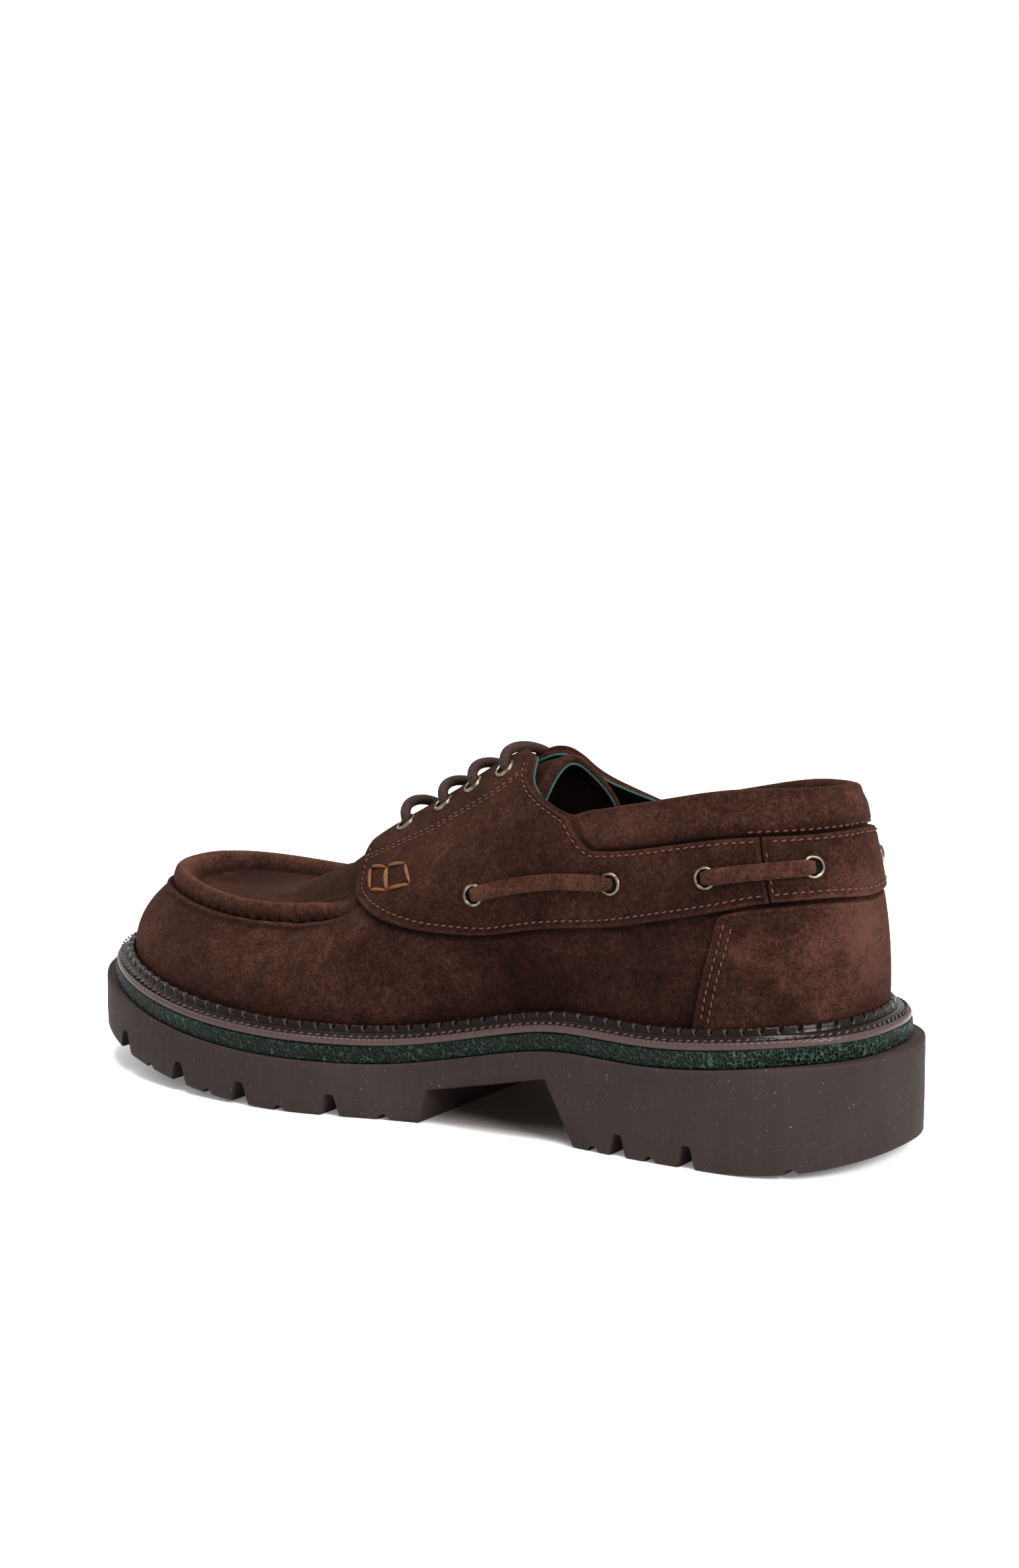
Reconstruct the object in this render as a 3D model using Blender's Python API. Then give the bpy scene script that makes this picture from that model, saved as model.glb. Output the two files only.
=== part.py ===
"""A laced moccasin-toe shoe: a hollow suede upper on a storm welt, a foam midsole and a lugged rubber sole.

Units are metres. +Z is up, the toe points along -Y, and +X is the shoe's outer side.
The origin is on the ground, under the middle of the sole.
"""
import bmesh
import bpy
import numpy as np
from math import pi

# Driving dimensions of the sole.
LENGTH = 0.305
BALL_HALF = 0.0575
HEEL_HEIGHT = 0.0305
SPRING = 0.014
MIDSOLE_THICK = 0.0055
WELT_THICK = 0.0030
WELT_REACH = 0.0075
RAND_INSET = 0.00055
RIDGE_WIDE = 0.0042
RIDGE_TOP = 0.0025
RIDGE_TALL = 0.0062
LEDGE_DEEP = 0.0043
EDGE_BEVEL = 0.0015
TOP_BEVEL = 0.0003
NOTCH_DEEP = 0.016
NOTCH_OUT = 0.012
BIG_NOTCH = 0.0075
SMALL_NOTCH = 0.0021
NOTCH_BELOW = 0.0021
HEEL_LIFT = 0.0055
HEEL_LIFT_RUN = 0.16
HEEL_TUCK = 0.0016
HEEL_TUCK_RUN = 0.12

# Driving dimensions of the upper.
UPPER_RISE = 0.086
TONGUE_RISE = 0.0025
INSTEP_HALF = 0.033
WALL = 0.0020
COLLAR_WALL = 0.0045
COLLAR_SWELL = 0.0013
PANEL_THICK = 0.0014
PATCH_THICK = 0.0022
COUNTER_THICK = 0.0011
ROLL_TALL = 0.0056
INSOLE_THICK = 0.0035
INSOLE_CLEAR = 0.0008
TONGUE_THICK = 0.0022
GAP = 0.0003
LEAN = 0.0050
LEAN_START = 0.060
LEAN_RUN = 0.045

# Trim.
EYELET_OUTER = 0.0038
EYELET_HOLE = 0.0026
EYELET_TALL = 0.0010
EYELET_LIP = 0.0006
PANEL_CLEAR = GAP * 2
TRIM_CLEAR = GAP * 3.5
WELT_CLEAR = GAP * 1.5
LACE_THICK = 0.0038
LACE_ARCH = 0.0095
STRAP_WIDE = 0.0050
STRAP_THICK = 0.0014

QUARTER_HEIGHT = HEEL_HEIGHT + MIDSOLE_THICK + UPPER_RISE
CREST_HEIGHT = QUARTER_HEIGHT + TONGUE_RISE

# Where each end of an outline starts to round, as a share of its run, and the power of that rounding.
HEEL_ROUND = 0.15
TOE_ROUND = 0.26
SEAM_HEEL_ROUND = 0.17
SEAM_TOE_ROUND = 0.22
END_POWER = 2.3

# Where the collar and apron seam, and the crest above them, begin and end along the length.
SEAM_BACK = 0.070
SEAM_FRONT = 0.918
CREST_BACK = 0.12
CREST_FRONT = 0.86

# In every table below, t runs from the heel's back, 0, to the toe's tip, 1.
# Half widths are shares of BALL_HALF.
OUTLINE = {
    "t":       (0.00, 0.10, 0.18, 0.25, 0.31, 0.38, 0.45, 0.52, 0.58, 0.64, 0.70, 0.76, 0.82, 0.90, 1.00),
    "lateral": (.755, .757, .762, .760, .735, .707, .722, .790, .885, .968, 1.00, .992, .965, .930, .880),
    "medial":  (.750, .750, .748, .730, .685, .635, .625, .685, .790, .895, .970, 1.00, 1.00, .985, .950),
}

# The outsole's top edge and its underside, as shares of HEEL_HEIGHT.
SOLE_TOP = {
    "t":      (0, .05, .10, .16, .233, .30, .34, .40, .48, .55, .62, .68, .75, .82, .90, 1.00),
    "height": (1.20, 1.18, 1.135, 1.055, 1.00, 1.00, .985, .89, .715, .610, .590, .597, .635, .71, .85, 1.06),
}
ARCH = {
    "t":      (0.354, 0.423, 0.498),
    "height": (.67, .51, .36),
}
STEP = 0.0001
BALL_STEP = 0.009
RUN_CLEAR = 0.006
BREAST_FOOT = 0.316
BREAST_TOP = 0.354
BALL_REAR = 0.505
SPRING_START = 0.66
SPRING_POWER = 1.7

# How far the layers above the outsole stand in from its edge, as shares of LEDGE_DEEP.
LEDGE = {
    "t":     (0.00, 0.05, 0.12, 0.25, 0.80, 0.93, 1.00),
    "inset": (1.00, .84, .42, .23, .23, .56, .93),
}

# Notches in the outsole's side: place along the length, and half widths as shares of BIG_NOTCH.
BIG_NOTCHES = {
    "t":    (.177, .259, .602, .711, .800, .900),
    "foot": (.43, .43, .48, .52, .52, .52),
    "head": (.22, .22, .24, .24, .24, .24),
}
SMALL_NOTCHES = (.067, .220, .290, .544, .661, .756, .850)

# The seam line: the collar's top edge at the back, the apron's seam in front.
# Half widths are shares of INSTEP_HALF, heights of QUARTER_HEIGHT, and the leans and flare are degrees.
SEAM = {
    "t":       (.070, .10, .15, .22, .28, .34, .42, .50, .57, .63, .70, .78, .86, .918),
    "lateral": (.80, .86, .91, .94, .94, .935, .96, 1.00, 1.06, 1.09, 1.09, 1.07, 1.03, 1.00),
    "medial":  (.80, .86, .91, .94, .93, .91, .92, .96, 1.03, 1.08, 1.09, 1.08, 1.05, 1.02),
    "height":  (.972, .966, .955, .92, .885, .855, .785, .68, .585, .515, .483, .481, .502, .520),
    "wall_lean":  (12, 12, 10, 8, 8, 12, 24, 34, 44, 54, 60, 62, 58, 54),
    "crown_lean": (12, 12, 10, 8, 8, 12, 24, 36, 48, 62, 80, 84, 84, 84),
    "flare":   (3, 3, 3, 2, 2, 2, 4, 8, 12, 12, 12, 12, 12, 12),
}
WALL_PULL = 1.15

# The crest on the centre plane, as shares of CREST_HEIGHT.
CREST = {
    "t":      (.10, .20, .30, .38, .43, .486, .524, .572, .60, .64, .668, .70, .73, .77, .82, .88),
    "height": (1.12, 1.1, 1.07, 1.035, .995, .922, .862, .793, .752, .683, .625, .583, .545, .51, .49, .485),
}

# Lines drawn on the upper. q is the place around the foot: 0 at the heel's back, 1 at the toe's tip.
# v is the place up the surface: 0 at the feather edge, 1 at the seam line, 2 at the crest.
THROAT = {
    "q": (0, .386, .401, .416, .429, .438, .442, .449, .463, .60, .64, .655, 1),
    "v": (1, 1.00, 1.10, 1.21, 1.33, 1.45, 1.60, 1.76, 1.83, 1.84, 1.86, 2.00, 2),
}
COLLAR_SEAM = {
    "q": (0, .181, .362, .370, .376, .386),
    "v": (.865, .850, .845, .88, .93, 1.00),
}
PANEL_FOOT = {
    "q": (0, .097, .181, .231, .302, .380, .445, .499, .535, .573, .604, .616, .630),
    "v": (.565, .580, .570, .550, .525, .485, .505, .620, .750, .985, 1.30, 1.60, 1.86),
}
COUNTER_TOP = {
    "q": (0, .097, .181, .231, .254, .271, .285),
    "v": (.545, .560, .550, .530, .380, .220, .020),
}
PATCH_EDGE = 0.170
PATCH_CLEAR = 0.008
PATCH_BLEND = 0.012
QUARTER_START = PATCH_EDGE + 0.004
QUARTER_END = 0.628
PATCH_END = PATCH_EDGE - 0.002
SEAM_CLEAR = 0.004
SIDE_EYELETS = {
    "q": (.106, .240, .341, .464),
    "v": (.720, .695, .700, .748),
}
FRONT_EYELETS = {
    "q": (.468, .503, .535, .578),
    "v": (1.62, 1.66, 1.67, 1.70),
}
TONGUE_SPAN = (0.432, 0.70)
TONGUE_EDGE = 1.08
TONGUE_DROP = {
    "q":    (.432, .45, .48, .52, .56, .70),
    "drop": (2.5, 2.3, 2.0, 1.75, 1.6, 1.6),
    "more": (.40, .30, .20, .10, 0, 0),
}


def natural_spline(xs, ys):
    """A natural cubic spline through the points, as a function."""
    xs = np.asarray(xs, float)
    ys = np.asarray(ys, float)
    steps = np.diff(xs)
    slopes = np.diff(ys) / steps
    count = len(xs)
    matrix = np.eye(count)
    rhs = np.zeros(count)
    for i in range(1, count - 1):
        matrix[i, i - 1:i + 2] = steps[i - 1], 2 * (steps[i - 1] + steps[i]), steps[i]
        rhs[i] = 6 * (slopes[i] - slopes[i - 1])
    bends = np.linalg.solve(matrix, rhs)

    def value(x):
        x = np.clip(x, xs[0], xs[-1])
        i = np.clip(np.searchsorted(xs, x) - 1, 0, count - 2)
        h = steps[i]
        a = (xs[i + 1] - x) / h
        b = (x - xs[i]) / h
        bend = ((a ** 3 - a) * bends[i] + (b ** 3 - b) * bends[i + 1]) * h * h / 6
        return a * ys[i] + b * ys[i + 1] + bend

    return value


def curves(table):
    return {name: natural_spline(table["t"], table[name]) for name in table if name != "t"}


def line(table, q, column="v"):
    return np.interp(np.abs(q), table["q"], table[column])


OUT = curves(OUTLINE)
TOP = curves(SOLE_TOP)
INSET = curves(LEDGE)
KNEE = curves(SEAM)
CROWN = curves(CREST)
ARCH_LINE = natural_spline(ARCH["t"], ARCH["height"])


def smooth(x):
    x = np.clip(x, 0, 1)
    return x * x * (3 - 2 * x)


def progress(q):
    """Share of the way from heel to toe at the place q around the foot."""
    return (1 - np.cos(pi * np.abs(q))) / 2


def wrap(q):
    return (q + 1) % 2 - 1


def end_round(run, heel_round, toe_round):
    """1 along the middle, falling to 0 at both ends as a superellipse does."""
    near_end = np.maximum(1 - run / heel_round, (run - 1 + toe_round) / toe_round)
    return (1 - np.clip(near_end, 0, 1) ** END_POWER) ** (1 / END_POWER)


def outline(q):
    run = progress(q)
    half = np.where(q >= 0, OUT["lateral"](run), OUT["medial"](run)) * BALL_HALF
    half = half * end_round(run, HEEL_ROUND, TOE_ROUND)
    return np.stack([np.sign(q) * half, LENGTH * (0.5 - run)], -1)


def seam_t(q):
    return SEAM_BACK + (SEAM_FRONT - SEAM_BACK) * progress(q)


def seam_outline(q):
    t = seam_t(q)
    half = np.where(q >= 0, KNEE["lateral"](t), KNEE["medial"](t)) * INSTEP_HALF
    half = half * end_round(progress(q), SEAM_HEEL_ROUND, SEAM_TOE_ROUND)
    return np.stack([np.sign(q) * half, LENGTH * (0.5 - t)], -1)


def plan_normal(ring, q, step=0.004):
    """Outward unit normal, in plan, of a closed outline that runs with q."""
    ahead = ring(wrap(q + step)) - ring(wrap(q - step))
    normal = np.stack([-ahead[..., 1], ahead[..., 0]], -1)
    return normal / np.linalg.norm(normal, axis=-1, keepdims=True)


def inset_outline(q, inset):
    """The outsole's outline moved inward along its normals."""
    q = np.asarray(q, float)
    inset = np.broadcast_to(inset, q.shape)[..., None]
    return outline(q) - plan_normal(outline, q) * inset


def ledge(q):
    return INSET["inset"](progress(q)) * LEDGE_DEEP


def sole_top(y):
    return TOP["height"](0.5 - y / LENGTH) * HEEL_HEIGHT


def layer(q, inset, lift):
    """Points on the sole's top form, moved in from the outline and lifted."""
    plan = inset_outline(q, inset)
    return np.concatenate([plan, (sole_top(plan[..., 1]) + lift)[..., None]], -1)


MIDSOLE_BASE = GAP
MIDSOLE_TOP = MIDSOLE_BASE + MIDSOLE_THICK
WELT_BASE = MIDSOLE_TOP + GAP


def feather(q):
    """The foot of the upper, tucked in a little further around the heel."""
    tuck = HEEL_TUCK * smooth(1 - progress(q) / HEEL_TUCK_RUN)
    return layer(q, WELT_REACH + ledge(q) + tuck, WELT_BASE)


def unit(v):
    return v / np.maximum(np.linalg.norm(v, axis=-1, keepdims=True), 1e-9)


def leaning(plan_dir, degrees):
    """A direction that leans from straight up towards plan_dir by the given angle."""
    a = np.radians(degrees)[..., None]
    return np.concatenate([plan_dir * np.sin(a), np.cos(a)], -1)


def hermite(start, leave, arrive, end, s):
    s = s[..., None]
    return (
        (2 * s ** 3 - 3 * s ** 2 + 1) * start
        + (s ** 3 - 2 * s ** 2 + s) * leave
        + (3 * s ** 2 - 2 * s ** 3) * end
        + (s ** 3 - s ** 2) * arrive
    )


def crest_point(t):
    z = CROWN["height"](t) * CREST_HEIGHT
    return np.stack([np.zeros_like(t), LENGTH * (0.5 - t), z], -1)


def crest_t(q):
    return CREST_BACK + (CREST_FRONT - CREST_BACK) * progress(q)


def crest_tangent(q, step=0.005):
    t = crest_t(q)
    return unit(crest_point(t - step) - crest_point(t + step))


def knee_point(q):
    plan = seam_outline(q)
    z = KNEE["height"](seam_t(q)) * QUARTER_HEIGHT
    return np.concatenate([plan, z[..., None]], -1)


def leaned(points):
    """The collar and throat dip towards the inner side of the foot."""
    share = smooth((points[..., 2] - LEAN_START) / LEAN_RUN)
    dip = LEAN * share * (0.5 - points[..., 0] / INSTEP_HALF / 2)
    return points - np.stack([np.zeros_like(dip), np.zeros_like(dip), dip], -1)


def surface(q, v):
    """The last's outer form at the place q around the foot and v up its side."""
    q, v = np.broadcast_arrays(np.asarray(q, float), np.asarray(v, float))
    t = seam_t(q)
    foot, knee, top = feather(q), knee_point(q), crest_point(crest_t(q))
    rise = np.linalg.norm(knee - foot, axis=-1, keepdims=True) * WALL_PULL
    leave_foot = leaning(plan_normal(outline, q), KNEE["flare"](t)) * rise
    reach_knee = leaning(-plan_normal(seam_outline, q), KNEE["wall_lean"](t)) * rise
    wall = hermite(foot, leave_foot, reach_knee, knee, np.clip(v, 0, 1))
    span = np.linalg.norm(top - knee, axis=-1, keepdims=True)
    inward = unit((top - knee)[..., :2])
    tangent = crest_tangent(q)
    slope = tangent[..., 2] / tangent[..., 1]
    reach_top = np.concatenate([inward, (slope * inward[..., 1])[..., None]], -1) * span
    leave_knee = leaning(inward, KNEE["crown_lean"](t)) * span
    crown = hermite(knee, leave_knee, reach_top, top, np.clip(v - 1, 0, 1))
    return leaned(np.where((v <= 1)[..., None], wall, crown))


def surface_normal(q, v, dq=0.003, dv=0.02):
    q, v = np.broadcast_arrays(np.asarray(q, float), np.asarray(v, float))
    along = surface(wrap(q + dq), v) - surface(wrap(q - dq), v)
    up = surface(q, np.clip(v + dv, 0, 2)) - surface(q, np.clip(v - dv, 0, 2))
    normal = unit(np.cross(up, along))
    tangent = crest_tangent(q)
    crest = np.stack([np.zeros_like(q), -tangent[..., 2], tangent[..., 1]], -1)
    crest = crest * np.sign(crest[..., 2:3])
    return np.where((v >= 2 - 1e-6)[..., None], crest, normal)


def wall_rise(q):
    return np.linalg.norm(knee_point(q) - feather(q), axis=-1)


def crown_span(q):
    return np.linalg.norm(crest_point(crest_t(q)) - knee_point(q), axis=-1)


# Places across the apron's roll, in from its seam, and its height there, as shares of ROLL_TALL.
ROLL = {
    "in":     (0, 0.14, 0.46, 0.90, 1.43, 2.2),
    "height": (0, .70, 1.00, .72, .12, 0),
}
SWELL_RISE = 0.17
SWELL_TURN = 0.6
SWELL_LOSS = 0.9
SWELL_FADE = 0.03
PAD_BLEND = 0.1
ROLL_BEGIN = 0.580
ROLL_FULL = 0.640
ROLL_STATION = 0.590


def relief(q, v):
    """Height of the apron's roll and the collar's swell over the last's form."""
    inward = (v - 1) * crown_span(q) / ROLL_TALL
    roll = np.interp(inward, ROLL["in"], ROLL["height"]) * ROLL_TALL
    roll = roll * smooth((np.abs(q) - ROLL_BEGIN) / (ROLL_FULL - ROLL_BEGIN))
    seam = line(COLLAR_SEAM, q)
    up = np.clip((v - seam) / np.maximum(1 - seam, 1e-6), 0, 1)
    fall = SWELL_LOSS * smooth((up - SWELL_TURN) / (1 - SWELL_TURN))
    swell = COLLAR_SWELL * smooth(up / SWELL_RISE) * (1 - fall)
    swell = swell * smooth((COLLAR_SEAM["q"][2] - np.abs(q)) / SWELL_FADE) * (v <= 1)
    return roll + swell


def skin(q, v, lift):
    """A point lifted off the upper's outer face. A negative lift is inside the wall."""
    q, v = np.broadcast_arrays(np.asarray(q, float), np.asarray(v, float))
    height = relief(q, v) * (np.asarray(lift) >= 0) + lift
    return surface(q, v) + surface_normal(q, v) * height[..., None]


# Stations around the foot, with the turns of the drawn lines among them.
REGULAR = np.linspace(0, 1, 33)
TURNS = sorted(set(THROAT["q"] + COLLAR_SEAM["q"] + COUNTER_TOP["q"] + PANEL_FOOT["q"] + (PATCH_EDGE, ROLL_STATION)))
KEEP_CLEAR = 0.009
STATIONS = sorted(TURNS + [q for q in REGULAR if min(abs(q - turn) for turn in TURNS) > KEEP_CLEAR])
LOOP = np.array(STATIONS + [-q for q in reversed(STATIONS[1:-1])])

WALL_ROWS = (0, .16, .35, .55, .75, .845, .875, .94, 1)
CROWN_SHARES = (.35, .70, 1)
WALL_ROWS_INSIDE = (0, .35, .75, 1)
CROWN_SHARES_INSIDE = (.25, .5, .75, 1)
TONGUE_SHARES = np.array([0, .3, .6, .8, 1])


def rows_at(q, wall_rows, crown_shares, with_roll):
    """The v values of a column of the upper, from the feather edge to the crest."""
    rows = list(wall_rows)
    reached = 1.0
    if with_roll:
        rows += [min(2.0, 1 + share * ROLL_TALL / crown_span(q)) for share in ROLL["in"][1:]]
        reached = rows[-1]
    return rows + [reached + (2 - reached) * share for share in crown_shares]


def clear_scene():
    for item in list(bpy.data.objects):
        bpy.data.objects.remove(item, do_unlink=True)


def material(name, color, roughness, metallic=0.0):
    mat = bpy.data.materials.new(name)
    mat.use_nodes = True
    shader = mat.node_tree.nodes["Principled BSDF"]
    shader.inputs["Base Color"].default_value = (*color, 1)
    shader.inputs["Roughness"].default_value = roughness
    shader.inputs["Metallic"].default_value = metallic
    return mat


def solid(name, points, faces, mat):
    """One object from points and faces, with equal points joined and empty faces dropped."""
    keys = {}
    order = []
    remap = []
    for point in np.asarray(points, float).reshape(-1, 3):
        key = tuple(np.round(point * 2e5).astype(int))
        if key not in keys:
            keys[key] = len(order)
            order.append(point)
        remap.append(keys[key])
    clean = []
    for face in faces:
        loop = []
        for index in face:
            if remap[index] not in loop:
                loop.append(remap[index])
        if len(loop) > 2:
            clean.append(loop)
    mesh = bpy.data.meshes.new(name)
    mesh.from_pydata([tuple(p) for p in order], [], clean)
    work = bmesh.new()
    work.from_mesh(mesh)
    bmesh.ops.recalc_face_normals(work, faces=work.faces)
    bmesh.ops.triangulate(work, faces=work.faces)
    work.to_mesh(mesh)
    work.free()
    mesh.materials.append(mat)
    item = bpy.data.objects.new(name, mesh)
    bpy.context.scene.collection.objects.link(item)
    return item


def tube_loops(rings, close_ends=True):
    """Faces that join rings of equal size, one after another."""
    count = len(rings[0])
    faces = []
    for i in range(len(rings) - 1):
        for j in range(count):
            k = (j + 1) % count
            faces.append((i * count + j, i * count + k, (i + 1) * count + k, (i + 1) * count + j))
    if close_ends:
        faces.append(tuple(range(count)))
        faces.append(tuple((len(rings) - 1) * count + j for j in range(count)))
    return faces


def ring_solid(name, rings, mat):
    """A closed hoop: the first ring follows the last."""
    rings = list(rings) + [rings[0]]
    return solid(name, np.concatenate(rings), tube_loops(rings, close_ends=False), mat)


def plate_faces(rings):
    """Faces of a curved plate whose rings run along one face and back along the other."""
    count = len(rings[0])
    faces = tube_loops(rings, close_ends=False)
    for base in (0, (len(rings) - 1) * count):
        for j in range(count // 2 - 1):
            faces.append((base + j, base + j + 1, base + count - 2 - j, base + count - 1 - j))
    return faces


def shell(name, qs, edges, lifts, mat):
    """A curved plate over the upper, between two lines v(q) and two lifts."""
    low, high = edges
    columns = []
    for q in qs:
        rows = rows_at(q, WALL_ROWS, CROWN_SHARES, True)
        rows = np.clip(rows, low(q), high(q))
        rows[0], rows[-1] = low(q), high(q)
        inner = skin(q, rows, lifts[0])
        outer = skin(q, rows, lifts[1])
        columns.append(np.concatenate([inner, outer[::-1]]))
    return solid(name, np.concatenate(columns), plate_faces(columns), mat)


def stations_between(low, high):
    inside = [q for q in STATIONS if low + KEEP_CLEAR / 2 < q < high - KEEP_CLEAR / 2]
    return np.array([low] + inside + [high])


def wall_depth(q, v):
    """Thickness of the upper: thin below, and padded at the collar."""
    seam = line(COLLAR_SEAM, q)
    share = smooth((v - seam + PAD_BLEND) / np.maximum(1 + PAD_BLEND - seam, 1e-6))
    padded = np.abs(q) < COLLAR_SEAM["q"][-1]
    return WALL + (COLLAR_WALL - WALL) * share * padded


def make_upper(mat):
    """The hollow upper: open at the collar and throat, and underneath where the sole closes it."""
    outer_rows = len(rows_at(0.5, WALL_ROWS, CROWN_SHARES, True))
    inner_rows = len(rows_at(0.5, WALL_ROWS_INSIDE, CROWN_SHARES_INSIDE, False))
    columns = []
    for q in LOOP:
        edge = line(THROAT, q)
        outer = np.minimum(rows_at(q, WALL_ROWS, CROWN_SHARES, True), edge)
        inner = np.minimum(rows_at(q, WALL_ROWS_INSIDE, CROWN_SHARES_INSIDE, False), edge)
        columns.append(np.concatenate([skin(q, outer, 0.0), skin(q, inner, -wall_depth(q, inner))[::-1]]))
    count = outer_rows + inner_rows
    faces = []
    for i, q in enumerate(LOOP):
        following = (i + 1) % len(LOOP)
        closed = line(THROAT, q) >= 2 and line(THROAT, LOOP[following]) >= 2
        for j in range(count):
            if j == outer_rows - 1 and closed:
                continue
            k = (j + 1) % count
            faces.append((i * count + j, i * count + k, following * count + k, following * count + j))
    return solid("upper", np.concatenate(columns), faces, mat)


def plank(name, runs, insets, lifts, mat):
    """A slab between two forms. Each run gives one section across the foot."""
    sections = []
    for run in runs:
        q = np.arccos(1 - 2 * run) / pi
        left, right = np.array([q]), np.array([-q if q > 0 else -1e-9])
        loop = [layer(left, insets[0](left), lifts[0])[0], layer(right, insets[0](right), lifts[0])[0]]
        loop += [layer(right, insets[1](right), lifts[1])[0], layer(left, insets[1](left), lifts[1])[0]]
        sections.append(np.array(loop))
    return solid(name, np.concatenate(sections), tube_loops(sections), mat)


def runs_along(count):
    return (1 - np.cos(np.linspace(0, pi, count))) / 2


def underside(t):
    """Height of the outsole's underside: heel, breast, arch, ball and toe spring."""
    if t < BREAST_FOOT:
        return HEEL_LIFT * np.clip(1 - t / HEEL_LIFT_RUN, 0, 1) ** 2
    if t < BREAST_TOP:
        return ARCH_LINE(BREAST_TOP) * HEEL_HEIGHT * (t - BREAST_FOOT) / (BREAST_TOP - BREAST_FOOT)
    if t < BALL_REAR:
        return ARCH_LINE(t) * HEEL_HEIGHT
    spring = np.clip((t - SPRING_START) / (1 - SPRING_START), 0, None)
    return SPRING * spring ** SPRING_POWER


def make_outsole(mat):
    """The rubber unit sole, with its edge slightly proud at mid height and beveled below."""
    turns = (BREAST_FOOT - STEP, BREAST_FOOT, BREAST_TOP, ARCH["t"][1], BALL_REAR - BALL_STEP, BALL_REAR)
    regular = [t for t in runs_along(37) if min(abs(t - turn) for turn in turns) > RUN_CLEAR]
    sections = []
    for t in sorted(list(turns) + regular):
        q = np.arccos(1 - 2 * t) / pi
        base = underside(t)
        sides = []
        for place in (np.array([q]), np.array([-q if q > 0 else -1e-9])):
            top_z = sole_top(inset_outline(place, 0)[:, 1])[0]
            levels = ((base, EDGE_BEVEL), (base + EDGE_BEVEL, 0), ((base + top_z) / 2, 0), (top_z, TOP_BEVEL))
            sides.append([np.append(inset_outline(place, inset)[0], z) for z, inset in levels])
        sections.append(np.array(sides[0] + sides[1][::-1]))
    item = solid("outsole", np.concatenate(sections), tube_loops(sections, close_ends=False), mat)
    cut(item, notch_cutter())
    return item


def notch_prism(q, profile):
    """A prism straight in from the outsole's edge, with a profile of (along, up) points."""
    place = np.array([q])
    edge = outline(place)[0]
    out = np.array([np.sign(q), 0])
    along = np.array([0, np.sign(q)])
    rings = []
    for depth in (NOTCH_OUT, -NOTCH_DEEP):
        rings.append(np.array([np.append(edge + out * depth + along * a, z) for a, z in profile]))
    return rings


def notch_cutter():
    """All notches in one cutter, as separate closed prisms."""
    points, faces = [], []
    profiles = []
    for t, foot, head in zip(*BIG_NOTCHES.values()):
        base = underside(t)
        half_head = head * BIG_NOTCH
        half_foot = foot * BIG_NOTCH + (foot - head) * (base + NOTCH_BELOW)
        shape = [(-half_foot, -NOTCH_BELOW), (half_foot, -NOTCH_BELOW)]
        shape += [(half_head, base + BIG_NOTCH), (-half_head, base + BIG_NOTCH)]
        profiles.append((t, shape))
    for t in SMALL_NOTCHES:
        base = underside(t)
        shape = [(-SMALL_NOTCH, -NOTCH_BELOW), (SMALL_NOTCH, -NOTCH_BELOW)]
        for a in (pi / 6, pi / 2, 5 * pi / 6):
            shape.append((SMALL_NOTCH * np.cos(a), base + SMALL_NOTCH * np.sin(a)))
        profiles.append((t, shape))
    for t, shape in profiles:
        q = np.arccos(1 - 2 * t) / pi
        for side in (q, -q):
            rings = notch_prism(side, shape)
            start = len(points)
            points += [p for ring in rings for p in ring]
            faces += [tuple(start + i for i in face) for face in tube_loops(rings)]
    item = solid("notch_cutter", points, faces, bpy.data.materials["rubber"])
    item.hide_render = True
    item.display_type = "WIRE"
    return item


def cut(item, cutter):
    boolean = item.modifiers.new("cut", "BOOLEAN")
    boolean.operation = "DIFFERENCE"
    boolean.solver = "EXACT"
    boolean.object = cutter


def make_welt(mat):
    """The storm welt: a flat outer rand and a ridge that hugs the foot of the upper."""
    rings = []
    for q in LOOP:
        place = np.array([q])
        foot = feather(place)[0]
        out = np.append(plan_normal(outline, place)[0], 0)
        up = np.array([0, 0, 1.0])
        rise = wall_rise(place)[0]
        edge = layer(place, ledge(place) + RAND_INSET, WELT_BASE)[0]
        shoulder_v = np.array([WELT_THICK, RIDGE_TALL]) / rise / WALL_PULL
        hug = skin(q, np.array([0, *shoulder_v]), 0.0) + out * WELT_CLEAR
        hug[:, 2] = foot[2] + np.array([0, WELT_THICK, RIDGE_TALL])
        rings.append(np.array([
            hug[0],
            edge,
            edge + up * WELT_THICK,
            hug[1] + out * RIDGE_WIDE,
            hug[2] + out * RIDGE_TOP,
            hug[2],
        ]))
    return ring_solid("welt", rings, mat)


def make_insole(mat):
    """The insole board, inside the upper and flat on the midsole."""
    def side(q):
        return WELT_REACH + ledge(q) + HEEL_TUCK + WALL + INSOLE_CLEAR

    return plank("insole", runs_along(33), (side, side), (WELT_BASE, WELT_BASE + INSOLE_THICK), mat)


def make_tongue(mat):
    """The tongue: a curved strip under the throat, from one side's inner face to the other's."""
    sections = []
    for q in stations_between(*TONGUE_SPAN):
        rows = TONGUE_EDGE + (2 - TONGUE_EDGE) * TONGUE_SHARES
        drop = (line(TONGUE_DROP, q, "drop") + line(TONGUE_DROP, q, "more") * smooth(TONGUE_SHARES)) * WALL
        top = np.concatenate([skin(q, rows, -drop), skin(-q, rows, -drop)[::-1][1:]])
        drop = drop + TONGUE_THICK
        bottom = np.concatenate([skin(q, rows, -drop), skin(-q, rows, -drop)[::-1][1:]])
        sections.append(np.concatenate([top, bottom[::-1]]))
    return solid("tongue", np.concatenate(sections), plate_faces(sections), mat)


def surface_frame(q, v, lift):
    """A point over the upper, and its normal and upward tangent."""
    here = skin(q, np.array([v]), lift)[0]
    normal = surface_normal(q, np.array([v]))[0]
    up = unit(skin(q, np.array([v + 0.02]), lift)[0] - here)
    up = unit(up - normal * np.dot(up, normal))
    return here, normal, up


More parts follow.
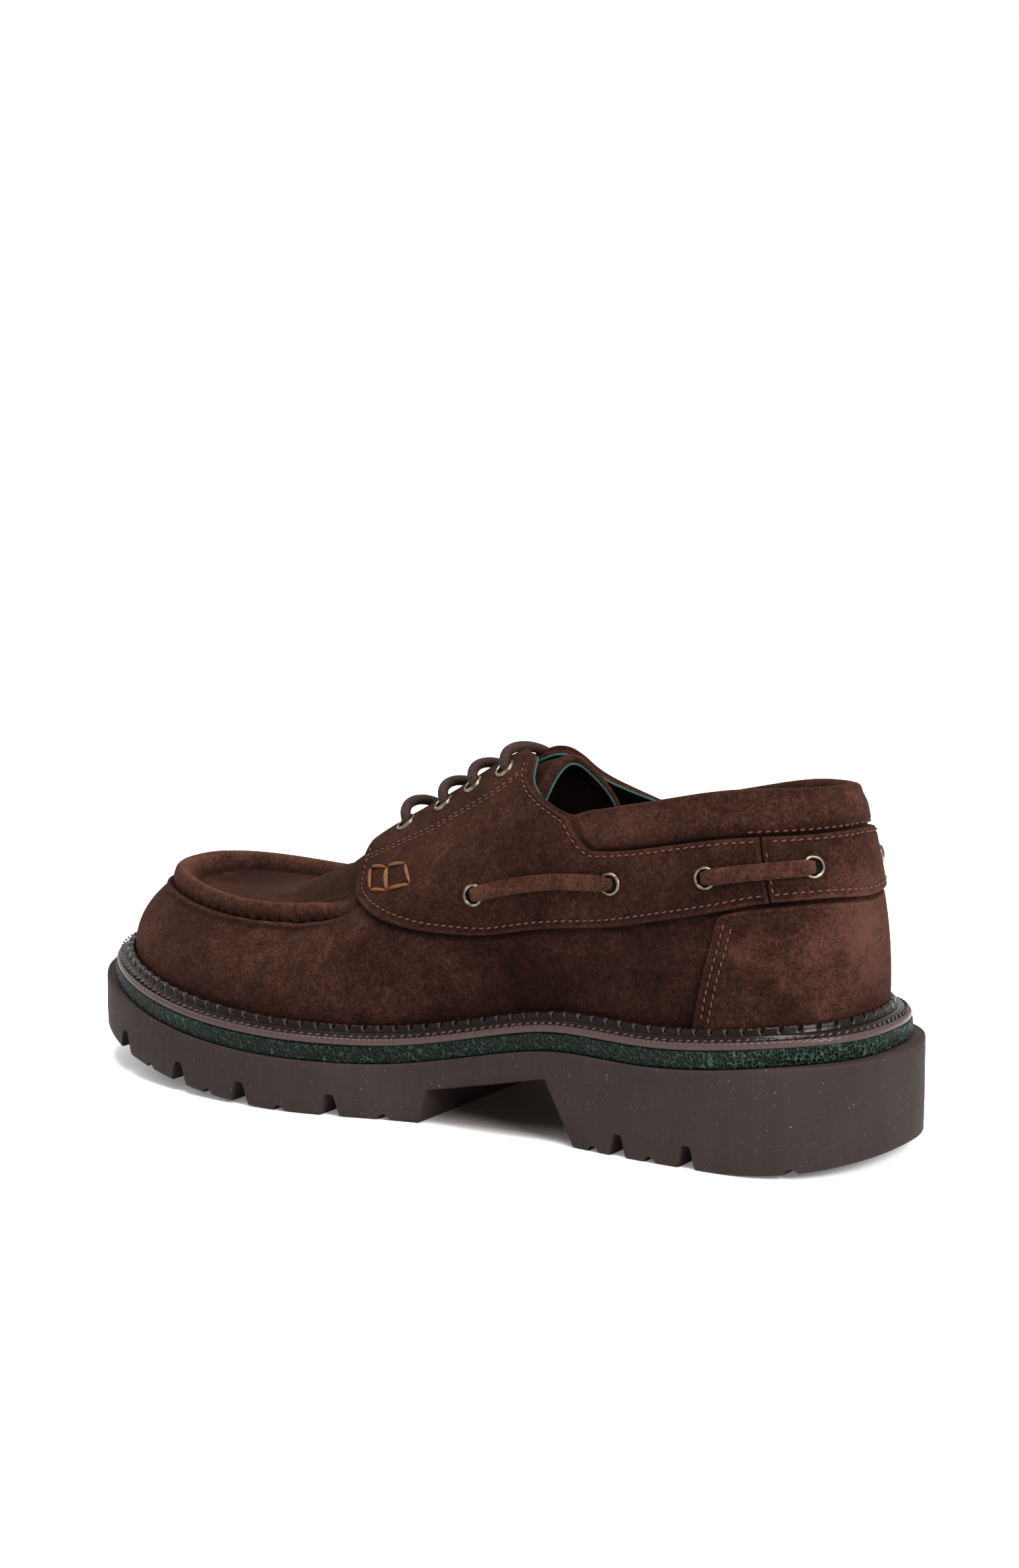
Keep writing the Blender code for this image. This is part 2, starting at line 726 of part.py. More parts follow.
def panel_lift(q):
    """Height over the upper at which trim lies: on the heel patch, and lower on the quarters."""
    share = smooth((abs(q) - PATCH_EDGE - PATCH_CLEAR) / PATCH_BLEND)
    return PATCH_THICK + (PANEL_THICK - PATCH_THICK) * share + TRIM_CLEAR


def make_eyelet(name, q, v, mat):
    """A metal ring on the panel, flat below and rounded above."""
    here, normal, up = surface_frame(q, v, panel_lift(q))
    side = np.cross(up, normal)
    middle = (EYELET_OUTER + EYELET_HOLE) / 2
    profile = ((EYELET_HOLE, 0), (EYELET_OUTER, 0), (middle, EYELET_TALL), (EYELET_HOLE, EYELET_LIP))
    rings = []
    for angle in np.linspace(0, 2 * pi, 10, endpoint=False):
        spoke = up * np.cos(angle) + side * np.sin(angle)
        rings.append(np.array([here + spoke * r + normal * h for r, h in profile]))
    return ring_solid(name, rings, mat)


def make_lace_bar(name, q, v, mat):
    """One straight crossing of the lace, arched between a pair of eyelets."""
    stand = PANEL_THICK + TRIM_CLEAR + EYELET_TALL + LACE_THICK / 2
    ends = [surface_frame(side * q, v, stand)[0] for side in (1, -1)]
    span = ends[1] - ends[0]
    rings = []
    for s in np.linspace(0, 1, 10):
        centre = ends[0] + span * s + np.array([0, 0, 4 * s * (1 - s) * LACE_ARCH])
        slope = span + np.array([0, 0, 4 * (1 - 2 * s) * LACE_ARCH])
        tangent = unit(slope)
        across = unit(np.cross(tangent, np.array([0, 1.0, 0])))
        third = np.cross(tangent, across)
        angles = np.linspace(0, 2 * pi, 6, endpoint=False)[:, None]
        rings.append(centre + (across * np.cos(angles) + third * np.sin(angles)) * LACE_THICK / 2)
    return solid(name, np.concatenate(rings), tube_loops(rings), mat)


def make_strap(name, ends, sign, mat):
    """A flat lace along the side, from one eyelet's rim to the next."""
    (q0, v0), (q1, v1) = ends
    first = surface_frame(q0, v0, 0.0)[0]
    last = surface_frame(q1, v1, 0.0)[0]
    margin = (EYELET_OUTER + GAP * 2) / np.linalg.norm(last - first)
    sections = []
    for s in np.linspace(margin, 1 - margin, 8):
        q = q0 + (q1 - q0) * s
        v = v0 + (v1 - v0) * s
        half = STRAP_WIDE / 2 / wall_rise(np.array([q]))[0]
        rows = np.array([v - half, v + half])
        low = skin(sign * q, rows, panel_lift(q))
        high = skin(sign * q, rows, panel_lift(q) + STRAP_THICK)
        sections.append(np.array([low[0], low[1], high[1], high[0]]))
    return solid(name, np.concatenate(sections), tube_loops(sections), mat)


def panel_foot(q):
    return line(PANEL_FOOT, q)


def panel_top(q):
    """The collar seam at the back, and the throat's edge in front."""
    table = COLLAR_SEAM if abs(q) < COLLAR_SEAM["q"][-1] else THROAT
    return line(table, q) - SEAM_CLEAR


def counter_foot(q):
    return (RIDGE_TALL + GAP * 2) / wall_rise(np.array([abs(q)]))[0]


def counter_top(q):
    return max(line(COUNTER_TOP, q), counter_foot(q))


def both_sides(high):
    """Stations from -high to high, around the heel."""
    qs = stations_between(0, high)
    return np.concatenate([-qs[:0:-1], qs])


def make_overlays(mat):
    """The quarters that carry the eyelets, the patch that joins them, and the counter."""
    outline_lines = (panel_foot, panel_top)
    for side, sign in (("lateral", 1), ("medial", -1)):
        qs = stations_between(QUARTER_START, QUARTER_END) * sign
        shell(f"quarter_{side}", qs, outline_lines, (PANEL_CLEAR, PANEL_CLEAR + PANEL_THICK), mat)
    shell("heel_patch", both_sides(PATCH_END), outline_lines, (PANEL_CLEAR, PANEL_CLEAR + PATCH_THICK), mat)
    qs = both_sides(COUNTER_TOP["q"][-1])
    shell("counter", qs, (counter_foot, counter_top), (PANEL_CLEAR, PANEL_CLEAR + COUNTER_THICK), mat)


def make_trim(brass, cord):
    """Eyelets, side laces and the bars of lace across the throat."""
    rows = {"side": list(zip(*SIDE_EYELETS.values())), "front": list(zip(*FRONT_EYELETS.values()))}
    for side, sign in (("lateral", 1), ("medial", -1)):
        for row, places in rows.items():
            for number, (q, v) in enumerate(places, 1):
                make_eyelet(f"{row}_eyelet_{side}_{number}", sign * q, v, brass)
        make_strap(f"side_lace_{side}_rear", rows["side"][:2], sign, cord)
        make_strap(f"side_lace_{side}_front", rows["side"][2:], sign, cord)
    for number, (q, v) in enumerate(rows["front"], 1):
        make_lace_bar(f"lace_bar_{number}", q, v, cord)


def build():
    clear_scene()
    suede = material("suede", (0.060, 0.032, 0.025), 0.95)
    lining = material("lining", (0.10, 0.20, 0.19), 0.8)
    rubber = material("rubber", (0.045, 0.036, 0.033), 0.6)
    foam = material("foam", (0.020, 0.055, 0.042), 0.7)
    leather = material("welt_leather", (0.045, 0.022, 0.018), 0.4)
    cord = material("lace", (0.045, 0.026, 0.020), 0.55)
    brass = material("brass", (0.42, 0.35, 0.22), 0.35, 1.0)
    make_outsole(rubber)
    plank("midsole", runs_along(37), (ledge, ledge), (MIDSOLE_BASE, MIDSOLE_TOP), foam)
    make_welt(leather)
    make_insole(lining)
    make_upper(suede)
    make_tongue(suede)
    make_overlays(suede)
    make_trim(brass, cord)


build()
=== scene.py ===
"""The looks of a laced moccasin-toe shoe: brushed suede, waxed welt, foam midsole and lugged rubber sole.

Units are metres. +Z is up, the toe points along -Y, and +X is the shoe's outer side.
"""
import bmesh
import bpy
import numpy as np
from math import atan, cos, pi, radians, sin
from mathutils import Matrix, Vector, kdtree


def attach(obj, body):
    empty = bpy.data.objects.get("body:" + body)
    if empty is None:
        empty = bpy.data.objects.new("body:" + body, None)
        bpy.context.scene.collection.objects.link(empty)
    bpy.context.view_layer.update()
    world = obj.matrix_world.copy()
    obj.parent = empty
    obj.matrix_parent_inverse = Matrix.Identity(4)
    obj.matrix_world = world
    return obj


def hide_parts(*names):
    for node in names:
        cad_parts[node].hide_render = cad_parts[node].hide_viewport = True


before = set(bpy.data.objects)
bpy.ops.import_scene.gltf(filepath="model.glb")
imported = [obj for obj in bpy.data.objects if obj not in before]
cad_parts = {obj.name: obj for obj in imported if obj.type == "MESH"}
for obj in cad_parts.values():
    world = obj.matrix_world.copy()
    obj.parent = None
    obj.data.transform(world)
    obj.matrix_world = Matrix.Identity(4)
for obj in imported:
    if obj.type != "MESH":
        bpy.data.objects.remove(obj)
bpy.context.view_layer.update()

# The shoe's own sizes, as the frame has them.
LENGTH = 0.305
BALL_HALF = 0.0575
HEEL_HEIGHT = 0.0305
SPRING = 0.014
MIDSOLE_THICK = 0.0055
WELT_REACH = 0.0075
RIDGE_WIDE = 0.0042
RIDGE_TALL = 0.0062
LEDGE_DEEP = 0.0043
NOTCH_DEEP = 0.016
NOTCH_OUT = 0.012
BIG_NOTCH = 0.0075
SMALL_NOTCH = 0.0021
HEEL_LIFT = 0.0055
HEEL_LIFT_RUN = 0.16
HEEL_TUCK = 0.0016
HEEL_TUCK_RUN = 0.12
UPPER_RISE = 0.086
TONGUE_RISE = 0.0025
INSTEP_HALF = 0.033
WALL = 0.0020
COLLAR_WALL = 0.0045
PANEL_THICK = 0.0014
PATCH_THICK = 0.0022
COUNTER_THICK = 0.0011
ROLL_TALL = 0.0056
INSOLE_THICK = 0.0035
GAP = 0.0003
LEAN = 0.0050
LEAN_START = 0.060
LEAN_RUN = 0.045
QUARTER_HEIGHT = HEEL_HEIGHT + MIDSOLE_THICK + UPPER_RISE
CREST_HEIGHT = QUARTER_HEIGHT + TONGUE_RISE
MM = 0.001
UP = np.array([0, 0, 1.0])

HEEL_ROUND = 0.15
TOE_ROUND = 0.26
SEAM_HEEL_ROUND = 0.17
SEAM_TOE_ROUND = 0.22
END_POWER = 2.3
SEAM_BACK = 0.070
SEAM_FRONT = 0.918
CREST_BACK = 0.12
CREST_FRONT = 0.86
WALL_PULL = 1.15

# Steps over which directions are taken, in q, in t along the crest, and in q and v on the surface.
PLAN_STEP = 0.004
CREST_STEP = 0.005
STEP_Q = 0.003
STEP_V = 0.02

# In these tables t runs from the heel's back, 0, to the toe's tip, 1.
OUTLINE = {
    "t":       (0.00, 0.10, 0.18, 0.25, 0.31, 0.38, 0.45, 0.52, 0.58, 0.64, 0.70, 0.76, 0.82, 0.90, 1.00),
    "lateral": (.755, .757, .762, .760, .735, .707, .722, .790, .885, .968, 1.00, .992, .965, .930, .880),
    "medial":  (.750, .750, .748, .730, .685, .635, .625, .685, .790, .895, .970, 1.00, 1.00, .985, .950),
}
SOLE_TOP = {
    "t":      (0, .05, .10, .16, .233, .30, .34, .40, .48, .55, .62, .68, .75, .82, .90, 1),
    "height": (1.20, 1.18, 1.135, 1.055, 1.00, 1.00, .985, .89, .715, .610, .590, .597, .635, .71, .85, 1.06),
}
ARCH = {
    "t":      (0.354, 0.423, 0.498),
    "height": (.67, .51, .36),
}
BREAST_FOOT = 0.316
BREAST_TOP = 0.354
BALL_REAR = 0.505
BALL_STEP = 0.009
SPRING_START = 0.66
LEDGE = {
    "t":     (0.00, 0.05, 0.12, 0.25, 0.80, 0.93, 1.00),
    "inset": (1.00, .84, .42, .23, .23, .56, .93),
}
BIG_NOTCHES = {
    "t":    (.177, .259, .602, .711, .800, .900),
    "foot": (.43, .43, .48, .52, .52, .52),
    "head": (.22, .22, .24, .24, .24, .24),
}
SMALL_NOTCHES = (.067, .220, .290, .544, .661, .756, .850)
SEAM = {
    "t":       (.070, .10, .15, .22, .28, .34, .42, .50, .57, .63, .70, .78, .86, .918),
    "lateral": (.80, .86, .91, .94, .94, .935, .96, 1.00, 1.06, 1.09, 1.09, 1.07, 1.03, 1.00),
    "medial":  (.80, .86, .91, .94, .93, .91, .92, .96, 1.03, 1.08, 1.09, 1.08, 1.05, 1.02),
    "height":  (.972, .966, .955, .92, .885, .855, .785, .68, .585, .515, .483, .481, .502, .520),
    "wall_lean":  (12, 12, 10, 8, 8, 12, 24, 34, 44, 54, 60, 62, 58, 54),
    "crown_lean": (12, 12, 10, 8, 8, 12, 24, 36, 48, 62, 80, 84, 84, 84),
    "flare":   (3, 3, 3, 2, 2, 2, 4, 8, 12, 12, 12, 12, 12, 12),
}
CREST = {
    "t":      (.10, .20, .30, .38, .43, .486, .524, .572, .60, .64, .668, .70, .73, .77, .82, .88),
    "height": (1.12, 1.1, 1.07, 1.035, .995, .922, .862, .793, .752, .683, .625, .583, .545, .51, .49, .485),
}

# Lines on the upper. q goes around the foot, 0 at the heel's back and 1 at the toe's tip.
# v goes up the surface: 0 at the feather edge, 1 at the seam line, 2 at the crest.
THROAT = {
    "q": (0, .380, .389, .401, .416, .429, .438, .443, .449, .459, .478, .60, .632, .648, .657, 1),
    "v": (1, 1.00, 1.03, 1.10, 1.21, 1.33, 1.46, 1.60, 1.735, 1.81, 1.835, 1.84, 1.86, 1.92, 2.00, 2),
}
COLLAR_SEAM = {
    "q": (0, .181, .340, .358, .368, .376, .386),
    "v": (.865, .850, .846, .850, .882, .93, 1.01),
}
PANEL_FOOT = {
    "q": (0, .097, .181, .231, .302, .380, .445, .499, .535, .560, .576, .592, .604, .616, .630),
    "v": (.565, .580, .570, .550, .525, .485, .505, .620, .750, .88, 1.00, 1.15, 1.32, 1.56, 1.85),
}
COUNTER_TOP = {
    "q": (0, .097, .181, .231, .254, .271, .285),
    "v": (.545, .560, .550, .535, .380, .220, .020),
}
PATCH_EDGE = 0.170
SIDE_EYELETS = {
    "q": (.106, .240, .341, .464),
    "v": (.720, .695, .700, .748),
}
FRONT_EYELETS = {
    "q": (.468, .503, .535, .578),
    "v": (1.62, 1.66, 1.67, 1.70),
}
TONGUE_SPAN = (0.432, 0.69)
TONGUE_EDGE = 1.06
TONGUE_DROP = {
    "q":    (.432, .45, .48, .52, .56, .70),
    "drop": (2.5, 2.3, 2.0, 1.75, 1.6, 1.6),
    "more": (.40, .30, .20, .10, 0, 0),
}


def natural_spline(xs, ys):
    """A natural cubic spline through the points, as a function."""
    xs = np.asarray(xs, float)
    ys = np.asarray(ys, float)
    steps = np.diff(xs)
    slopes = np.diff(ys) / steps
    count = len(xs)
    matrix = np.eye(count)
    rhs = np.zeros(count)
    for i in range(1, count - 1):
        matrix[i, i - 1:i + 2] = steps[i - 1], 2 * (steps[i - 1] + steps[i]), steps[i]
        rhs[i] = 6 * (slopes[i] - slopes[i - 1])
    bends = np.linalg.solve(matrix, rhs)

    def value(x):
        x = np.clip(x, xs[0], xs[-1])
        i = np.clip(np.searchsorted(xs, x) - 1, 0, count - 2)
        h = steps[i]
        a = (xs[i + 1] - x) / h
        b = (x - xs[i]) / h
        bend = ((a ** 3 - a) * bends[i] + (b ** 3 - b) * bends[i + 1]) * h * h / 6
        return a * ys[i] + b * ys[i + 1] + bend

    return value


def monotone(xs, ys):
    """A smooth curve through the points that never overshoots them."""
    xs = np.asarray(xs, float)
    ys = np.asarray(ys, float)
    h = np.diff(xs)
    d = np.diff(ys) / h
    m = np.zeros_like(xs)
    same = d[:-1] * d[1:] > 0
    w1 = 2 * h[1:] + h[:-1]
    w2 = h[1:] + 2 * h[:-1]
    safe = np.where(same, d[:-1] * d[1:], 1)
    m[1:-1] = np.where(same, (w1 + w2) * safe / np.where(same, w1 * d[1:] + w2 * d[:-1], 1), 0)
    m[0], m[-1] = d[0], d[-1]

    def value(x):
        x = np.clip(x, xs[0], xs[-1])
        i = np.clip(np.searchsorted(xs, x) - 1, 0, len(xs) - 2)
        s = (x - xs[i]) / h[i]
        return (
            (2 * s ** 3 - 3 * s ** 2 + 1) * ys[i]
            + (s ** 3 - 2 * s ** 2 + s) * h[i] * m[i]
            + (3 * s ** 2 - 2 * s ** 3) * ys[i + 1]
            + (s ** 3 - s ** 2) * h[i] * m[i + 1]
        )

    return value


def curves(table):
    return {name: natural_spline(table["t"], table[name]) for name in table if name != "t"}


def drawn(table, column="v"):
    curve = monotone(table["q"], table[column])
    return lambda q: curve(np.abs(q))


OUT = curves(OUTLINE)
TOP = curves(SOLE_TOP)
INSET = curves(LEDGE)
KNEE = curves(SEAM)
CROWN = curves(CREST)
ARCH_LINE = natural_spline(ARCH["t"], ARCH["height"])
throat = drawn(THROAT)
collar_seam = drawn(COLLAR_SEAM)
panel_foot = drawn(PANEL_FOOT)
counter_top = drawn(COUNTER_TOP)
tongue_drop = drawn(TONGUE_DROP, "drop")
tongue_more = drawn(TONGUE_DROP, "more")


def smooth(x):
    x = np.clip(x, 0, 1)
    return x * x * (3 - 2 * x)


def bell(x):
    return np.exp(-x * x)


def progress(q):
    """Share of the way from heel to toe at the place q around the foot."""
    return (1 - np.cos(pi * np.abs(q))) / 2


def wrap(q):
    return (q + 1) % 2 - 1


def end_round(run, heel_round, toe_round):
    """1 along the middle, falling to 0 at both ends as a superellipse does."""
    near_end = np.maximum(1 - run / heel_round, (run - 1 + toe_round) / toe_round)
    return (1 - np.clip(near_end, 0, 1) ** END_POWER) ** (1 / END_POWER)


def outline(q):
    run = progress(q)
    half = np.where(q >= 0, OUT["lateral"](run), OUT["medial"](run)) * BALL_HALF
    half = half * end_round(run, HEEL_ROUND, TOE_ROUND)
    return np.stack([np.sign(q) * half, LENGTH * (0.5 - run)], -1)


def seam_t(q):
    return SEAM_BACK + (SEAM_FRONT - SEAM_BACK) * progress(q)


def seam_outline(q):
    t = seam_t(q)
    half = np.where(q >= 0, KNEE["lateral"](t), KNEE["medial"](t)) * INSTEP_HALF
    half = half * end_round(progress(q), SEAM_HEEL_ROUND, SEAM_TOE_ROUND)
    return np.stack([np.sign(q) * half, LENGTH * (0.5 - t)], -1)


def plan_normal(ring, q):
    """Outward unit normal, in plan, of a closed outline that runs with q."""
    ahead = ring(wrap(q + PLAN_STEP)) - ring(wrap(q - PLAN_STEP))
    normal = np.stack([-ahead[..., 1], ahead[..., 0]], -1)
    return normal / np.linalg.norm(normal, axis=-1, keepdims=True)


def inset_outline(q, inset):
    """The outsole's outline moved inward along its normals."""
    q = np.asarray(q, float)
    inset = np.broadcast_to(inset, q.shape)[..., None]
    return outline(q) - plan_normal(outline, q) * inset


def ledge(q):
    return INSET["inset"](progress(q)) * LEDGE_DEEP


def sole_top(y):
    return TOP["height"](0.5 - y / LENGTH) * HEEL_HEIGHT


def layer(q, inset, lift):
    """Points on the sole's top form, moved in from the outline and lifted."""
    plan = inset_outline(q, inset)
    return np.concatenate([plan, (sole_top(plan[..., 1]) + lift)[..., None]], -1)


MIDSOLE_TOP = GAP + MIDSOLE_THICK
WELT_BASE = MIDSOLE_TOP + GAP


def feather(q):
    """The foot of the upper, tucked in a little further around the heel."""
    tuck = HEEL_TUCK * smooth(1 - progress(q) / HEEL_TUCK_RUN)
    return layer(q, WELT_REACH + ledge(q) + tuck, WELT_BASE)


def unit(v):
    return v / np.maximum(np.linalg.norm(v, axis=-1, keepdims=True), 1e-9)


def run_along(points):
    """Distance along a path, at each of its points."""
    return np.concatenate([[0], np.cumsum(np.linalg.norm(np.diff(points, axis=0), axis=1))])


def around(count):
    """Angles evenly around a circle."""
    return np.linspace(0, 2 * pi, count, endpoint=False)


def leaning(plan_dir, degrees):
    """A direction that leans from straight up towards plan_dir by the given angle."""
    a = np.radians(degrees)[..., None]
    return np.concatenate([plan_dir * np.sin(a), np.cos(a)], -1)


def hermite(start, leave, arrive, end, s):
    s = s[..., None]
    return (
        (2 * s ** 3 - 3 * s ** 2 + 1) * start
        + (s ** 3 - 2 * s ** 2 + s) * leave
        + (3 * s ** 2 - 2 * s ** 3) * end
        + (s ** 3 - s ** 2) * arrive
    )


def crest_point(t):
    z = CROWN["height"](t) * CREST_HEIGHT
    return np.stack([np.zeros_like(t), LENGTH * (0.5 - t), z], -1)


def crest_t(q):
    return CREST_BACK + (CREST_FRONT - CREST_BACK) * progress(q)


def crest_tangent(q):
    t = crest_t(q)
    return unit(crest_point(t - CREST_STEP) - crest_point(t + CREST_STEP))


def knee_point(q):
    plan = seam_outline(q)
    z = KNEE["height"](seam_t(q)) * QUARTER_HEIGHT
    return np.concatenate([plan, z[..., None]], -1)


def leaned(points):
    """The collar and throat dip towards the inner side of the foot."""
    share = smooth((points[..., 2] - LEAN_START) / LEAN_RUN)
    dip = LEAN * share * (0.5 - points[..., 0] / INSTEP_HALF / 2)
    return points - np.stack([np.zeros_like(dip), np.zeros_like(dip), dip], -1)


def surface(q, v):
    """The last's outer form at the place q around the foot and v up its side."""
    q, v = np.broadcast_arrays(np.asarray(q, float), np.asarray(v, float))
    t = seam_t(q)
    foot, knee, top = feather(q), knee_point(q), crest_point(crest_t(q))
    rise = np.linalg.norm(knee - foot, axis=-1, keepdims=True) * WALL_PULL
    leave_foot = leaning(plan_normal(outline, q), KNEE["flare"](t)) * rise
    reach_knee = leaning(-plan_normal(seam_outline, q), KNEE["wall_lean"](t)) * rise
    wall = hermite(foot, leave_foot, reach_knee, knee, np.clip(v, 0, 1))
    span = np.linalg.norm(top - knee, axis=-1, keepdims=True)
    inward = unit((top - knee)[..., :2])
    tangent = crest_tangent(q)
    slope = tangent[..., 2] / tangent[..., 1]
    reach_top = np.concatenate([inward, (slope * inward[..., 1])[..., None]], -1) * span
    leave_knee = leaning(inward, KNEE["crown_lean"](t)) * span
    crown = hermite(knee, leave_knee, reach_top, top, np.clip(v - 1, 0, 1))
    return leaned(np.where((v <= 1)[..., None], wall, crown))


def surface_normal(q, v):
    q, v = np.broadcast_arrays(np.asarray(q, float), np.asarray(v, float))
    along = surface(wrap(q + STEP_Q), v) - surface(wrap(q - STEP_Q), v)
    up = surface(q, np.clip(v + STEP_V, 0, 2)) - surface(q, np.clip(v - STEP_V, 0, 2))
    normal = unit(np.cross(up, along))
    tangent = crest_tangent(q)
    crest = np.stack([np.zeros_like(q), -tangent[..., 2], tangent[..., 1]], -1)
    crest = crest * np.sign(crest[..., 2:3])
    return np.where((v >= 2 - 1e-6)[..., None], crest, normal)


def wall_rise(q):
    return np.linalg.norm(knee_point(q) - feather(q), axis=-1)


def crown_span(q):
    return np.linalg.norm(crest_point(crest_t(q)) - knee_point(q), axis=-1)


# Distance along the apron's seam from the heel, for what repeats along it.
DENSE_Q = np.linspace(0, 1, 1501)
SEAM_RUN = {sign: run_along(knee_point(DENSE_Q * sign)) for sign in (1, -1)}


def seam_run(q):
    outer, inner = (np.interp(np.abs(q), DENSE_Q, SEAM_RUN[sign]) for sign in (1, -1))
    return np.where(q >= 0, outer, inner)


def seam_phase(q):
    """Angle that turns once for each scallop."""
    return seam_run(q) / SCALLOP_PITCH * 2 * pi


# The apron's roll and the lip below it, by distance in from the seam in millimetres.
roll_profile = monotone((-1.0, 0, .35, 1.0, 2.4, 4.2, 6.2, 8.2, 9.6, 10.6, 11.4, 12.4, 14, 17),
                        (0, .10, .46, .80, 1.0, .90, .52, .17, .05, .02, .075, .045, .01, 0))
lip_profile = monotone((-4.2, -3.0, -2.3, -1.6, -1.0, -.5, 0), (0, .10, .95, 1.0, .70, 0, 0))
ROLL_BEGIN = 0.578
ROLL_FULL = 0.632
SCALLOP_PITCH = 4.7 * MM
SCALLOP_DEEP = 0.55 * MM
LIP_TALL = 0.85 * MM
SEAM_DEEP = 1.2 * MM
SWELL = 1.9 * MM
SWELL_FADE = 0.03


def apron_weight(q):
    return smooth((np.abs(q) - ROLL_BEGIN) / (ROLL_FULL - ROLL_BEGIN))


def from_seam(q, v):
    """Distance in from the seam line, in millimetres; below it, a negative one."""
    return np.where(v > 1, (v - 1) * crown_span(q), (v - 1) * wall_rise(q)) / MM


def scallop(q):
    """Height of the scallops along the seam, from 0 between two of them to 1."""
    phase = seam_phase(q)
    return np.abs(np.sin(phase / 2 + 0.35 * np.sin(phase * 0.19))) ** 0.6


def relief(q, v):
    """Height of the apron's roll, its scallops, the lip under it and the collar's swell."""
    inward = from_seam(q, v)
    plain = roll_profile(inward)
    pinch = SCALLOP_DEEP * (1 - scallop(q)) * (1 - smooth(plain / 0.35)) * bell(inward / 0.9)
    roll = roll_profile(inward - pinch / MM) * ROLL_TALL
    groove = -SEAM_DEEP * bell((inward + 0.25) / 0.42)
    lip = LIP_TALL * lip_profile(inward) * (1 + 0.12 * np.sin(seam_phase(q) * 0.5 + 1))
    apron = (roll + groove + lip) * apron_weight(q)
    seam = collar_seam(q)
    up = np.clip((v - seam) / np.maximum(1 - seam, 1e-6), 0, 1)
    swell = SWELL * smooth(up * 6) * (1 - 0.55 * smooth(up * 2.2 - 1.2))
    swell = swell * smooth((COLLAR_SEAM["q"][3] - np.abs(q)) / SWELL_FADE) * (v <= 1)
    return apron + swell


def skin(q, v, lift):
    """A point lifted off the upper's outer face."""
    q, v = np.broadcast_arrays(np.asarray(q, float), np.asarray(v, float))
    height = relief(q, v) + lift
    return surface(q, v) + surface_normal(q, v) * height[..., None]


def inside(q, v, depth):
    """A point inside the upper's wall, where the reliefs of its outer face don't show."""
    q, v = np.broadcast_arrays(np.asarray(q, float), np.asarray(v, float))
    return surface(q, v) - surface_normal(q, v) * np.broadcast_to(depth, q.shape)[..., None]


# Mesh making.

def linked(name, data):
    """A new object in the scene."""
    item = bpy.data.objects.new(name, data)
    bpy.context.scene.collection.objects.link(item)
    return item


def add_object(name, mesh, mat):
    mesh.materials.append(mat)
    item = linked(name, mesh)
    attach(item, "root")
    return item


def make_mesh(name, points, faces, tones=None, merge=0.0, smooth_shade=True, outward=True):
    mesh = bpy.data.meshes.new(name)
    mesh.from_pydata([tuple(p) for p in np.asarray(points, float)], [], faces)
    if tones is not None:
        attribute = mesh.attributes.new("tone", "FLOAT", "POINT")
        attribute.data.foreach_set("value", np.asarray(tones, np.float32))
    work = bmesh.new()
    work.from_mesh(mesh)
    if merge:
        bmesh.ops.remove_doubles(work, verts=work.verts, dist=merge)
        bmesh.ops.dissolve_degenerate(work, edges=work.edges, dist=1e-6)
    if outward:
        bmesh.ops.recalc_face_normals(work, faces=work.faces)
    work.to_mesh(mesh)
    work.free()
    if smooth_shade:
        mesh.shade_smooth()
    return mesh


def grid_faces(columns, rows, closed_columns=False, closed_rows=False, start=0):
    faces = []
    for i in range(columns if closed_columns else columns - 1):
        a = start + i * rows
        b = start + ((i + 1) % columns) * rows
        for j in range(rows if closed_rows else rows - 1):
            k = (j + 1) % rows
            faces.append((a + j, a + k, b + k, b + j))
    return faces


def press(points, normals, paths, width, depth):
    """Lowers the points that lie near any of the paths, as thread pulled tight does."""
    spots = np.concatenate(paths)
    tree = kdtree.KDTree(len(spots))
    for i, spot in enumerate(spots):
        tree.insert(spot, i)
    tree.balance()
    low, high = spots.min(0) - width, spots.max(0) + width
    near = np.all((points > low) & (points < high), axis=1)
    result = points.copy()
    for i in np.nonzero(near)[0]:
        distance = tree.find(points[i])[2]
        if distance < width:
            result[i] -= normals[i] * depth * (1 - (distance / width) ** 2) ** 2
    return result


# Rows of stitches, as paths on the upper.
PATH_STEP = 0.3 * MM


def path_on(qs, vs, lift):
    """3-D points, normals and places of a path given by q and v, with even steps."""
    points = skin(qs, vs, lift)
    run = run_along(points)
    even = np.arange(0, run[-1], PATH_STEP)
    q = np.interp(even, run, qs)
    v = np.interp(even, run, vs)
    return skin(q, v, lift), surface_normal(q, v), q, v


def beside(qs, vs, distance):
    """A line on the upper, moved sideways by a distance in metres. Positive is up or back."""
    step_q, step_v = 1e-3, 1e-2
    along = np.linalg.norm(surface(qs + step_q, vs) - surface(qs - step_q, vs), axis=-1) / (2 * step_q)
    low, high = np.clip(vs - step_v, 0, 2), np.clip(vs + step_v, 0, 2)
    up = np.linalg.norm(surface(qs, high) - surface(qs, low), axis=-1) / (high - low)
    dx, dy = np.gradient(qs) * along, np.gradient(vs) * up
    size = np.hypot(dx, dy) + 1e-12
    return qs - dy / size * distance / along, vs + dx / size * distance / up


def row_between(line, q0, q1, distance, sign, count):
    qs = np.linspace(q0, q1, count)
    qs, vs = beside(qs, line(qs), distance)
    return qs * sign, vs


